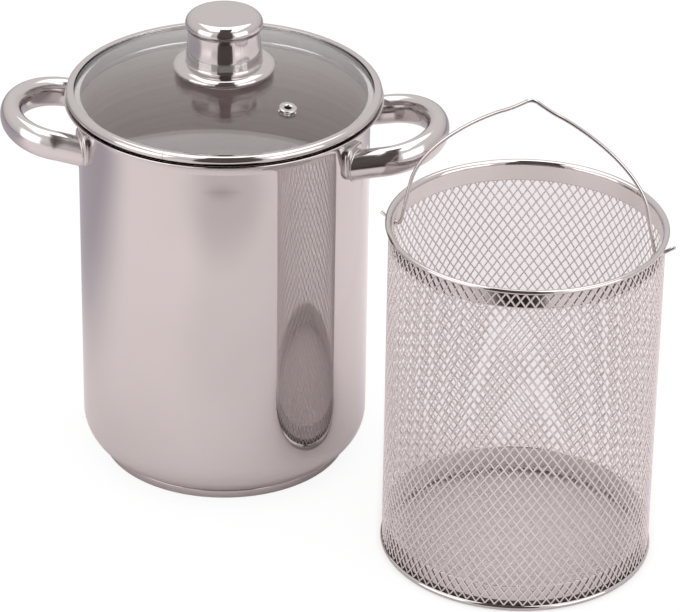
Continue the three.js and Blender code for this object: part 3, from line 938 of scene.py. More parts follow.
    def handle(self, side: Side) -> None:
        """Builds one handle: the tube, its two plates and the weld beads round its ends.

        Args:
            side: which handle.
        """
        name = side.name.lower()
        turn = Matrix.Rotation(0 if side is Side.RIGHT else math.pi, 4, "Z")
        path = self.handle_path()
        section = ellipse(self.tube_half_width, self.tube_half_height, self.tube_sides)
        rings = swept_rings(path, section, UP)
        ends = {
            End.REAR: self.onto_plate(rings[0], (path[1] - path[0]).normalized()),
            End.FRONT: self.onto_plate(rings[-1], (path[-2] - path[-1]).normalized()),
        }
        rings = [ends[End.REAR], *rings, ends[End.FRONT]]
        tube = skin(f"{name}_handle_tube", rings, [self.finishes.tube], cap=True, place=turn)
        self.fit(tube, Slot.POLISHED, f"{name}_handle")
        for end, outline in ends.items():
            seen = end if side is Side.RIGHT else End(-end.value)
            label = f"{name}_handle_{seen.name.lower()}"
            self.plate(label, end, turn)
            self.weld(label, outline, turn)

    def plate(self, label: str, end: End, turn: Matrix) -> None:
        """Builds a rounded plate that follows the pot's wall.

        Args:
            label: the start of the piece's name.
            end: which leg it carries, before the turn.
            turn: the handle's turn about the pot's axis.
        """
        middle = end.value * math.asin(self.plate_y / self.radius)
        rings = []
        for inset, height in self.plate_profile:
            rings.append(self.on_wall(self.plate_outline(inset), middle, self.radius + height))
        thickness = self.plate_profile[-1][1]
        rings.append(self.on_wall([(0.0, 0.0)] * len(rings[0]), middle, self.radius + thickness))
        piece = skin(f"{label}_weld_plate", rings, [self.finishes.weld], place=turn, sharp=50)
        self.fit(piece, Slot.POLISHED, f"{label}_plate")

    def plate_outline(self, inset: float) -> list[Point]:
        """Lists the plate's outline, moved in by a distance."""
        radius = max(self.plate_corner - inset, self.plate_corner_least)
        w = self.plate_half_width - inset - radius
        h = self.plate_half_height - inset - radius
        corners = ((w, h, 0), (-w, h, 90), (-w, -h, 180), (w, -h, 270))
        return [p for x, y, start in corners for p in arc((x, y), radius, start, start + 90, 10)]

    def on_wall(self, outline: Sequence[Point], middle: float, radius: float) -> Ring:
        """Wraps a flat outline round the pot's axis at an angle and a radius."""
        ring = []
        for u, v in outline:
            t = middle + u / self.radius
            ring.append(Vector((radius * math.cos(t), radius * math.sin(t), self.plate_z + v)))
        return ring

    def weld(self, label: str, outline: Ring, turn: Matrix) -> None:
        """Builds the weld bead where a tube meets its plate."""
        count = len(outline)
        middle = sum(outline, Vector()) / count
        section = ellipse(self.bead, self.bead, self.bead_sides)
        rings = []
        for i, here in enumerate(outline):
            along = (outline[(i + 1) % count] - outline[i - 1]).normalized()
            out = (here - middle).normalized()
            up = Vector((here.x, here.y, 0)).normalized()
            across = along.cross(up).normalized()
            rings.append([here + out * self.bead_out + across * u + up * v for u, v in section])
        piece = skin(f"{label}_weld_bead", rings, [self.finishes.weld], wrap=True, place=turn, sharp=80)
        self.fit(piece, Slot.POLISHED)


@dataclass
class Lid(Assembly):
    """The glass dome, its rolled band, its vent and its knob, in millimetres."""

    body: Body = Body.LID
    glass_top_z: float = 235.0
    glass_rise: float = 12.4
    glass_thickness: float = 3.6
    glass_radius: float = 84.2
    glass_hole: float = 3.0
    glass_steps: int = 40
    flare_centre: Point = (88.65, 210.0)
    seat_radius: float = 8.75
    seat_from: float = 140.0
    seat_to: float = 112.0
    tube: float = 2.6
    tube_radius: float = 84.9
    tube_z: float = 221.345
    sheet: float = 0.6
    lip: float = 0.3
    lip_radius: float = 83.0
    skirt_radius: float = 79.6
    skirt_depth: float = 5.0
    gap: float = 0.3
    groove_edge: float = 84.8
    seam_angle: float = -105.9
    seam_width: float = 0.12
    seam_clear: float = 2.5
    seam_depth: float = 0.3
    vent_reach: float = 52.9
    vent_angle: float = -43.0
    vent_bore: float = 1.85
    vent_tube: float = 2.6
    vent_outer: float = 5.0
    vent_lift: float = 0.1
    vent_flat: float = 0.5
    vent_roll: float = 0.55
    vent_mouth: float = 0.9
    vent_mouth_z: float = 0.2
    vent_below: float = 1.6
    vent_segments: int = 40
    vent_drill: float = 8.0
    knob_segments: int = 128
    knob_skirt_radius: float = 28.3
    knob_skirt_z: float = 236.3
    knob_skirt_top: float = 240.6
    knob_skirt_roll: float = 3.2
    knob_seat: float = 10.5
    knob_foot_z: float = 240.65
    knob_top_z: float = 268.1
    knob_foot: float = 21.0
    knob_foot_rise: float = 5.0
    knob_foot_flare: float = 0.6
    knob_foot_land: float = 0.15
    knob_foot_curl: float = 2.4
    knob_neck: float = 19.4
    knob_cap: float = 21.4
    knob_crease: float = 8.6
    knob_edge: float = 5.5
    knob_wall: float = 1.1
    curl_steps: int = 8
    neck_steps: int = 12
    screw_bore: float = 2.7

    @property
    def sphere(self) -> float:
        """Radius of the dome's sphere."""
        return (self.glass_radius**2 + self.glass_rise**2) / (2 * self.glass_rise)

    def dome_z(self, reach: float) -> float:
        """Height of the dome's outer face at a distance from the axis."""
        return self.glass_top_z - self.sphere + math.sqrt(self.sphere**2 - reach**2)

    def build(self) -> None:
        """Builds and dresses every piece of the lid."""
        self.glass()
        self.band()
        self.vent()
        self.knob_saucer()
        self.knob()
        self.dress_node("knob_insert", self.finishes.aluminium)
        for node in ("knob_screw", "knob_washer", "vent_washer"):
            self.dress_node(node, self.finishes.weld)
        for node in ("knob_upper_gasket", "knob_lower_gasket"):
            self.dress_node(node, self.finishes.silicone)

    def at_vent(self) -> Matrix:
        """Gives the place on the dome at the vent, square to the glass."""
        tilt = Matrix.Rotation(math.asin(self.vent_reach / self.sphere), 4, "Y")
        out = Matrix.Translation((self.vent_reach, 0, self.dome_z(self.vent_reach)))
        return Matrix.Rotation(math.radians(self.vent_angle), 4, "Z") @ out @ tilt

    def glass(self) -> None:
        """Builds the glass dome with its two holes."""
        wide = self.glass_radius - self.glass_hole
        reaches = [self.glass_hole + wide * i / self.glass_steps for i in range(self.glass_steps + 1)]
        top = [(r, self.dome_z(r)) for r in reaches]
        under = [(r, z - self.glass_thickness) for r, z in reversed(top)]
        rings = turned_rings([*top, *under], even_angles(self.segments))
        dome = skin("lid_glass_dome", rings, [self.finishes.glass], wrap=True)
        hole = rod(self.vent_tube + self.gap, self.vent_drill, self.at_vent())
        pane = self.fit(drilled(dome, [hole]), Slot.GLASS, "lid_glass")
        pane.visible_shadow = False

    def band(self) -> None:
        """Builds the rolled band, with the butt seam where its ends meet."""
        groove_top = self.dome_z(self.lip_radius) + self.gap
        groove_floor = self.dome_z(self.glass_radius) - self.glass_thickness - self.gap
        groove_radius = self.glass_radius + self.gap
        seat = arc(self.flare_centre, self.seat_radius, self.seat_from, self.seat_to, 8)
        skirt_top = seat[0][1] - (seat[0][0] - self.skirt_radius) / 2
        skirt_bottom = groove_floor - self.skirt_depth
        outline = [
            (self.skirt_radius - self.sheet, skirt_bottom),
            (self.skirt_radius, skirt_bottom),
            (self.skirt_radius, skirt_top),
            *seat,
            *arc((self.tube_radius, self.tube_z), self.tube, -70, 90, 20),
            *arc((self.lip_radius + self.lip, groove_top + self.lip), self.lip, 90, 270, 8),
            (groove_radius, groove_top),
            (groove_radius, groove_floor),
            (self.skirt_radius - self.sheet, groove_floor),
        ]
        seam = math.radians(self.seam_angle) % (2 * math.pi)
        wide = self.seam_width / self.tube_radius
        clear = [t for t in even_angles(self.segments) if abs(t - seam) > self.seam_clear * wide]
        angles = sorted([*clear, seam - wide, seam, seam + wide])
        rings = turned_rings(outline, angles)
        at_seam = angles.index(seam)
        core = Vector((self.tube_radius * math.cos(seam), self.tube_radius * math.sin(seam), self.tube_z))
        for ring in rings:
            p = ring[at_seam]
            if math.hypot(p.x, p.y) > self.groove_edge:
                ring[at_seam] = p + (core - p).normalized() * self.seam_depth
        piece = skin("lid_band_rolled", rings, [self.finishes.fittings], wrap=True)
        self.fit(piece, Slot.POLISHED, "lid_band")

    def vent(self) -> None:
        """Builds the eyelet that lines the vent, with a rolled flange on the glass."""
        under = -self.glass_thickness - self.gap - self.vent_below
        roll, mouth = self.vent_roll, self.vent_mouth
        outline = [
            (self.vent_bore, under),
            (self.vent_tube, under),
            (self.vent_tube, self.vent_lift),
            (self.vent_outer - self.vent_flat, self.vent_lift),
            *arc((self.vent_outer - roll, roll), roll, -60, 100, 8),
            *arc((self.vent_bore + mouth, self.vent_mouth_z), mouth, 90, 180, 6),
        ]
        self.turn(
            "vent_eyelet_rolled",
            "vent_eyelet",
            outline,
            self.finishes.weld,
            segments=self.vent_segments,
            wrap=True,
            place=self.at_vent(),
            sharp=60,
        )

    def knob_saucer(self) -> None:
        """Builds the wide saucer under the knob."""
        roll = self.knob_skirt_roll
        low = self.knob_skirt_top - roll
        crown = self.knob_foot + self.knob_foot_flare
        wide = self.knob_skirt_radius - crown
        outline = [
            (self.screw_bore, self.knob_skirt_z),
            (self.knob_seat, self.knob_skirt_z),
            *arc((self.knob_skirt_radius - roll, low), roll, -90, 0, 10)[:-1],
            *((crown + wide * x, low + roll * z) for x, z in arc((0.0, 0.0), 1.0, 0, 90, 24)),
            (self.screw_bore, self.knob_skirt_top),
        ]
        steel = self.finishes.fittings
        self.turn("knob_saucer", "knob_skirt", outline, steel, segments=self.knob_segments, wrap=True)

    def flank(self) -> list[Point]:
        """Lists the knob's flank.

        Returns:
            Points up an upright foot, a neck that draws in, and a crease where the cap curves out.
        """
        crease = self.knob_top_z - self.knob_crease
        foot = self.knob_foot_z + self.knob_foot_rise
        land = self.knob_foot_z + self.knob_foot_land
        flare = self.knob_foot_flare
        turns = [math.pi / 2 * i / self.curl_steps for i in range(1, self.curl_steps + 1)]
        points = [(self.knob_foot + flare, self.knob_foot_z), (self.knob_foot + flare, land)]
        for turn in turns[:-1]:
            lift = self.knob_foot_curl * (1 - math.cos(turn))
            points.append((self.knob_foot + flare * (1 - math.sin(turn)), land + lift))
        for i in range(self.neck_steps + 1):
            t = i / self.neck_steps
            ease = t * t * (3 - 2 * t)
            reach = self.knob_foot + (self.knob_neck - self.knob_foot) * ease
            points.append((reach, foot + (crease - foot) * t))
        high = self.knob_top_z - self.knob_edge
        for turn in turns:
            reach = (self.knob_cap - self.knob_neck) * math.sin(turn)
            points.append((self.knob_neck + reach, high - (high - crease) * math.cos(turn)))
        return points

    def knob(self) -> None:
        """Builds the hollow knob, whose cap steps out from the neck."""
        top = self.knob_top_z
        edge_centre = (self.knob_cap - self.knob_edge, top - self.knob_edge)
        outer = [*self.flank(), *arc(edge_centre, self.knob_edge, 0, 90, 12)[1:]]
        ceiling = top - self.knob_wall
        inner = [(r - self.knob_wall, min(z, ceiling)) for r, z in reversed(outer)]
        outline = [inner[-1], *outer, (0.0, top), (0.0, ceiling), *inner[:-1]]
        steel = self.finishes.fittings
        self.turn("knob_capped", "knob_cap", outline, steel, segments=self.knob_segments, wrap=True)


@dataclass
class Basket(Assembly):
    """The mesh wall and floor with the bands that hold them, in millimetres."""

    body: Body = Body.BASKET
    centre: Point = (172.4, -93.0)
    height: float = 197.9
    mesh_radius: float = 73.4
    mesh_low: float = 3.2
    mesh_tuck: float = 0.5
    strands: int = 90
    strand_radius: float = 0.42
    strand_sides: int = 6
    strand_steps: int = 44
    diamond_width: float = 5.15
    diamond_height: float = 7.4
    strip_outer: float = 72.95
    strip_inner: float = 72.08
    top_band_height: float = 11.8
    bottom_band_top: float = 15.2
    hem_gap: float = 0.05
    rim_bead: float = 1.25
    rim_bead_radius: float = 74.48
    rim_shoulder: float = 2.4
    rim_tuck: float = 0.9
    foot_bead: float = 1.75
    foot_bead_radius: float = 73.0
    # How high the painted shade band reaches up the strip over the foot's bead.
    painted_shade_height: float = 2.6
    floor_z: float = 4.9
    floor_radius: float = 71.6
    floor_gap: float = 0.1
    ledge: float = 4.0
    ledge_sheet: float = 0.5
    ear_z: float = 189.1
    ear_hole: float = 1.75
    ear_drill: float = 4.0
    ear_angle: float = -8.5

    def build(self) -> None:
        """Builds and dresses every piece of the basket."""
        self.wall_mesh()
        self.floor_mesh()
        self.top_band()
        self.bottom_band()

    def at(self) -> Matrix:
        """Gives the basket's own place."""
        return Matrix.Translation((*self.centre, 0))

    def new_tree(self, name: str, sizes: Sizes) -> tuple[Tree, dict[str, Socket]]:
        """Makes a Geometry Nodes tree with named sizes, a centre and a finish.

        Args:
            name: the tree's name.
            sizes: each input's name and value; whole numbers make whole-number inputs.

        Returns:
            The tree and its inputs by name.
        """
        tree = bpy.data.node_groups.new(name, "GeometryNodeTree")
        tree.interface.new_socket(name="Geometry", in_out="OUTPUT", socket_type="NodeSocketGeometry")
        kinds = {label: "Int" if isinstance(value, int) else "Float" for label, value in sizes.items()}
        kinds |= {"Centre": "Vector", "Finish": "Material"}
        for label, kind in kinds.items():
            tree.interface.new_socket(name=label, in_out="INPUT", socket_type=f"NodeSocket{kind}")
        given = add_node(tree, "NodeGroupInput")
        return tree, {label: given.outputs[label] for label in kinds}

    def strand(self, tree: Tree, given: dict[str, Socket], line: Socket) -> Socket:
        """Gives a line the strand's round section, and returns the solid strand."""
        section = {"Resolution": given["Strand sides"], "Radius": given["Strand radius"]}
        profile = node_out(tree, "GeometryNodeCurvePrimitiveCircle", section)
        inputs = {"Curve": line, "Profile Curve": profile, "Fill Caps": True}
        return node_out(tree, "GeometryNodeCurveToMesh", inputs)

    def about_z(self, tree: Tree, angle: Socket) -> Socket:
        """Turns an angle into a rotation about Z."""
        euler = node_out(tree, "ShaderNodeCombineXYZ", {"Z": angle})
        return node_out(tree, "FunctionNodeEulerToRotation", {0: euler})

    def grow(
        self, node: str, tree: Tree, given: dict[str, Socket], families: Sequence[Socket], sizes: Sizes
    ) -> None:
        """Ends a tree in a real mesh at the basket's centre, runs it once, and fits the plain mesh.

        Args:
            node: the CAD node that the piece stands for.
            tree: the tree, which has the piece's name.
            given: the tree's inputs by name.
            families: the strands to join.
            sizes: the values of the tree's named sizes.
        """
        name = tree.name
        joined = add_node(tree, "GeometryNodeJoinGeometry")
        for family in families:
            tree.links.new(family, joined.inputs[0])
        placed = {"Geometry": joined.outputs[0], "Translation": given["Centre"]}
        moved = node_out(tree, "GeometryNodeTransform", placed)
        real = node_out(tree, "GeometryNodeRealizeInstances", {0: moved})
        smooth = node_out(tree, "GeometryNodeSetShadeSmooth", {0: real})
        dressed = {"Geometry": smooth, "Material": given["Finish"]}
        add_node(tree, "NodeGroupOutput", {0: node_out(tree, "GeometryNodeSetMaterial", dressed)})
        holder = linked(f"{name}_holder", bpy.data.meshes.new(f"{name}_holder"))
        modifier = holder.modifiers.new("grow", "NODES")
        modifier.node_group = tree
        centre = (self.centre[0] * MM, self.centre[1] * MM, 0.0)
        values = {**sizes, "Centre": centre, "Finish": self.finishes.strand}
        for item in tree.interface.items_tree:
            if item.in_out == "INPUT":
                modifier[item.identifier] = values[item.name]
        mesh = plain_mesh(holder)
        bpy.data.node_groups.remove(tree)
        mesh.name = name
        self.fit(linked(name, mesh), Slot.WIRE, node)

    def wall_mesh(self) -> None:
        """Grows the diamond wall from two families of strands that wind opposite ways round the basket."""
        high = self.height - 2 * self.rim_bead - self.mesh_tuck
        rise = high - self.mesh_low
        turns = rise / self.diamond_height * self.diamond_width / (2 * math.pi * self.mesh_radius)
        sizes: Sizes = {
            "Radius": self.mesh_radius * MM,
            "Foot": self.mesh_low * MM,
            "Rise": rise * MM,
            "Turns": turns,
            "Points a turn": round(self.strand_steps / turns),
            "Strands": self.strands,
            "Strand radius": self.strand_radius * MM,
            "Strand sides": self.strand_sides,
        }
        tree, given = self.new_tree("basket_wall_strands", sizes)
        points = node_out(tree, "GeometryNodePoints", {"Count": given["Strands"]})
        foot = node_out(tree, "ShaderNodeCombineXYZ", {"Z": given["Foot"]})
        share = maths(tree, "DIVIDE", node_out(tree, "GeometryNodeInputIndex"), given["Strands"])
        rotation = self.about_z(tree, maths(tree, "MULTIPLY", share, 2 * math.pi))
        families = []
        for reverse in (False, True):
            spiral = {
                "Resolution": given["Points a turn"],
                "Rotations": given["Turns"],
                "Start Radius": given["Radius"],
                "End Radius": given["Radius"],
                "Height": given["Rise"],
                "Reverse": reverse,
            }
            solid = self.strand(tree, given, node_out(tree, "GeometryNodeCurveSpiral", spiral))
            lifted = node_out(tree, "GeometryNodeTransform", {"Geometry": solid, "Translation": foot})
            spread = {"Points": points, "Instance": lifted, "Rotation": rotation}
            families.append(node_out(tree, "GeometryNodeInstanceOnPoints", spread))
        self.grow("basket_wall_mesh", tree, given, families, sizes)

    def floor_mesh(self) -> None:
        """Grows the diamond floor from two families of strands, each cut to its chord of the circle."""
        lean = math.atan2(self.diamond_width, self.diamond_height)
        pitch = self.diamond_width * math.cos(lean)
        sizes: Sizes = {
            "Radius": self.floor_radius * MM,
            "Height": self.floor_z * MM,
            "Pitch": pitch * MM,
            "Lean": lean,
            "Strands": 2 * int(self.floor_radius / pitch) + 1,
            "Strand radius": self.strand_radius * MM,
            "Strand sides": self.strand_sides,
        }
        tree, given = self.new_tree("basket_floor_strands", sizes)
        ends = {"Start": (-0.5, 0, 0), "End": (0.5, 0, 0)}
        solid = self.strand(tree, given, node_out(tree, "GeometryNodeCurvePrimitiveLine", ends))
        half = maths(tree, "MULTIPLY", maths(tree, "SUBTRACT", given["Strands"], 1.0), 0.5)
        order = maths(tree, "SUBTRACT", node_out(tree, "GeometryNodeInputIndex"), half)
        offset = maths(tree, "MULTIPLY", order, given["Pitch"])
        squares = (maths(tree, "POWER", side, 2.0) for side in (given["Radius"], offset))
        chord = maths(tree, "SQRT", maths(tree, "SUBTRACT", *squares))
        length = maths(tree, "MULTIPLY", chord, 2.0)
        scale = node_out(tree, "ShaderNodeCombineXYZ", {"X": length, "Y": 1.0, "Z": 1.0})
        across = node_out(tree, "ShaderNodeCombineXYZ", {"Y": offset, "Z": given["Height"]})
        families = []
        for sign in (1.0, -1.0):
            angle = maths(tree, "MULTIPLY_ADD", given["Lean"], sign, math.pi / 2)
            turn = {"Vector": across, "Angle": angle}
            place = node_out(tree, "ShaderNodeVectorRotate", turn, rotation_type="Z_AXIS")
            points = node_out(tree, "GeometryNodePoints", {"Count": given["Strands"], "Position": place})
            spread = {
                "Points": points, "Instance": solid, "Rotation": self.about_z(tree, angle), "Scale": scale
            }
            families.append(node_out(tree, "GeometryNodeInstanceOnPoints", spread))
        self.grow("basket_bottom_mesh", tree, given, families, sizes)

    def top_band(self) -> None:
        """Builds the smooth band with a rim rolled over the mesh, and the two holes that take the bail."""
        bead_z = self.height - self.rim_bead
        half = (self.strip_outer - self.strip_inner) / 2
        hem = self.height - self.top_band_height + half + self.hem_gap
        shoulder = self.rim_shoulder
        under_bead = bead_z - self.rim_tuck
        middle = (self.strip_inner + self.strip_outer) / 2
        outside = [
            *arc((middle, hem), half, 180, 360, 6),
            (self.strip_outer, hem + HOLD),
            (self.strip_outer, under_bead - HOLD),
            (self.strip_outer, under_bead),
            *arc((self.rim_bead_radius, bead_z), self.rim_bead, -150, 90, 20),
            *arc((self.strip_inner + shoulder, self.height - shoulder), shoulder, 90, 180, 6),
        ]
        inside = [
            (self.strip_inner, self.height - shoulder - HOLD),
            (self.strip_inner, hem + HOLD),
        ]
        band = skin(
            "basket_top_band_rolled",
            turned_rings([*outside, *inside], even_angles(self.segments)),
            [self.finishes.basket_band, self.finishes.strip_painted_light],
            wrap=True,
            slot_of=lambda ring: int(ring >= len(outside) - 1),
            place=self.at(),
        )
        reach = Matrix.Translation((middle, 0, self.ear_z)) @ Matrix.Rotation(math.pi / 2, 4, "Y")
        rods = []
        for way in (0, 180):
            turn = Matrix.Rotation(math.radians(self.ear_angle + way), 4, "Z")
            rods.append(rod(self.ear_hole, self.ear_drill, self.at() @ turn @ reach))
        self.fit(drilled(band, rods), Slot.POLISHED, "basket_top_band")

    def bottom_band(self) -> None:
        """Builds the band and rolled foot that hold the floor mesh."""
        ledge_top = self.floor_z - self.strand_radius - self.floor_gap
        ledge_inner = self.strip_inner - self.ledge
        half = (self.strip_outer - self.strip_inner) / 2
        hem = self.bottom_band_top - half
        bead = arc((self.foot_bead_radius, self.foot_bead), self.foot_bead, -180, 60, 20)
        # The faces at the bead's top and the strip's foot take the painted shade.
        seam = range(len(bead), len(bead) + 2)
        outside = [
            (ledge_inner, ledge_top - self.ledge_sheet),
            *bead,
            (self.strip_outer, 2 * self.foot_bead),
            (self.strip_outer, 2 * self.foot_bead + self.painted_shade_height),
            (self.strip_outer, hem - HOLD),
            *arc(((self.strip_inner + self.strip_outer) / 2, hem), half, 0, 180, 6),
        ]
        inside = [
            (self.strip_inner, hem - HOLD),
            (self.strip_inner, ledge_top),
            (ledge_inner, ledge_top),
        ]
        self.turn(
            "basket_bottom_band_rolled",
            "basket_bottom_band",
            [*outside, *inside],
            self.finishes.basket_band,
            self.finishes.strip_painted_light,
            self.finishes.basket_painted_shade,
            wrap=True,
            slot_of=lambda ring: 2 if ring in seam else int(ring >= len(outside) - 1),
            place=self.at(),
        )


@dataclass
class Bail(Assembly):
    """The wire handle hooked through the basket's top band, in millimetres."""

    body: Body = Body.BAIL
    centre: Point = (172.4, -93.0)
    angle: float = -8.5
    wire: float = 1.0
    wire_sides: int = 14
    # How a cut end is rounded: the share of the wire's radius that is left, and how far back it begins.
    end_share: float = 0.7
    end_round: float = 0.3
    ear_z: float = 189.1
    ear_middle: float = 72.33
    ear_tip: float = 79.6
    ear_slope: float = 34.0
    hook: float = 69.2
    hook_bend: float = 4.2
    peak_z: float = 271.2
    shoulder: float = 10.9
    shoulder_z: float = 264.4
    arch_z: float = 213.5
    arch_half: float = 64.0
    # The arch stops a few steps short of the shoulder, where the bend begins.
    arch_steps: int = 40
    arch_points: int = 37
    leg_pull: float = 24.0
    shoulder_pull: float = 18.0
    shoulder_slope: float = 21.0
    peak_bend: float = 4.0

    def build(self) -> None:
        """Builds and dresses the wire."""
        half = self.half_line()
        line = [*half, *(Vector((-p.x, p.y, p.z)) for p in reversed(half[:-1]))]
        section = ellipse(self.wire, self.wire, self.wire_sides)
        rings = swept_rings(line, section, Vector((0, 1, 0)))
        first = self.rounded_end(rings[0], line[0] - line[1])
        last = self.rounded_end(rings[-1], line[-1] - line[-2])
        turn = Matrix.Rotation(math.radians(self.angle), 4, "Z")
        place = Matrix.Translation((*self.centre, 0)) @ turn
        rings = [first, *rings, last]
        piece = skin("bail_wire", rings, [self.finishes.wire], cap=True, place=place, sharp=60)
        self.fit(piece, Slot.WIRE, "bail")

    def rounded_end(self, ring: Ring, away: Vector) -> Ring:
        """Draws the last ring back from a cut end, and gives the smaller ring that ends the wire.

        Args:
            ring: the wire's last ring, whose points are moved.
            away: the direction out of the wire.

        Returns:
            The ring at the cut.
        """
        middle = sum(ring, Vector()) / len(ring)
        back = away.normalized()
        end = [middle + (p - middle) * self.end_share for p in ring]
        for p in ring:
            p -= back * self.end_round
        return end

    @staticmethod
    def bend(before: Vector, corner: Vector, after: Vector, reach: float, steps: int) -> list[Vector]:
        """Lists points of a smooth bend that replaces a corner."""
        start = corner + (before - corner).normalized() * reach
        end = corner + (after - corner).normalized() * reach
        shares = [i / steps for i in range(steps + 1)]
        return [start * (1 - t) ** 2 + corner * 2 * t * (1 - t) + end * t * t for t in shares]

    def half_line(self) -> list[Vector]:
        """Lists one half of the wire's centre line, from the tip of an ear to the peak.

        Returns:
            Points in the bail's own plane.
        """
        slope = math.tan(math.radians(self.ear_slope))
        tip, hook = (
            Vector((x, 0, self.ear_z + (x - self.ear_middle) * slope)) for x in (self.ear_tip, self.hook)
        )
        foot = Vector((self.arch_half, 0, self.arch_z))
        shoulder = Vector((self.shoulder, 0, self.shoulder_z))
        peak = Vector((0, 0, self.peak_z))
        mirrored = Vector((-self.shoulder, 0, self.shoulder_z))
        fall = math.radians(self.shoulder_slope)
        foot_pull = foot + (foot - hook).normalized() * self.leg_pull
        shoulder_pull = shoulder + Vector((math.cos(fall), 0, -math.sin(fall))) * self.shoulder_pull
        arch = []
        for i in range(self.arch_points):
            t = i / self.arch_steps
            arch.append(
                foot * (1 - t) ** 3
                + foot_pull * 3 * t * (1 - t) ** 2
                + shoulder_pull * 3 * t * t * (1 - t)
                + shoulder * t**3
            )
        return [
            tip,
            *self.bend(tip, hook, foot, self.hook_bend, 12),
            *arch,
            *self.bend(arch[-1], shoulder, peak, self.peak_bend, 8),
            *self.bend(shoulder, peak, mirrored, self.peak_bend, 12)[:7],
        ]


@dataclass(frozen=True)
class Softbox:
    """A soft square light, in millimetres and watts."""

    name: str
    place: Spot
    target: Spot
    watts: float
    size: float = 1500.0

    def hang(self) -> None:
        """Hangs the light where it faces its target."""
        data = bpy.data.lights.new(self.name, "AREA")
        data.size = self.size * MM
        data.energy = self.watts
        lamp = linked(self.name, data)
        lamp.location = Vector(self.place) * MM
        way = Vector(self.target) - Vector(self.place)
        lamp.rotation_euler = way.to_track_quat("-Z", "Y").to_euler()
        lamp.visible_camera = False


@dataclass(frozen=True)
class PaintedShadowStep:
    """One step of the painted shadow on the floor before the part, in millimetres out from it and to its
    side.
    """

    front: Point
    middle: float
    sides: Point
    share: float


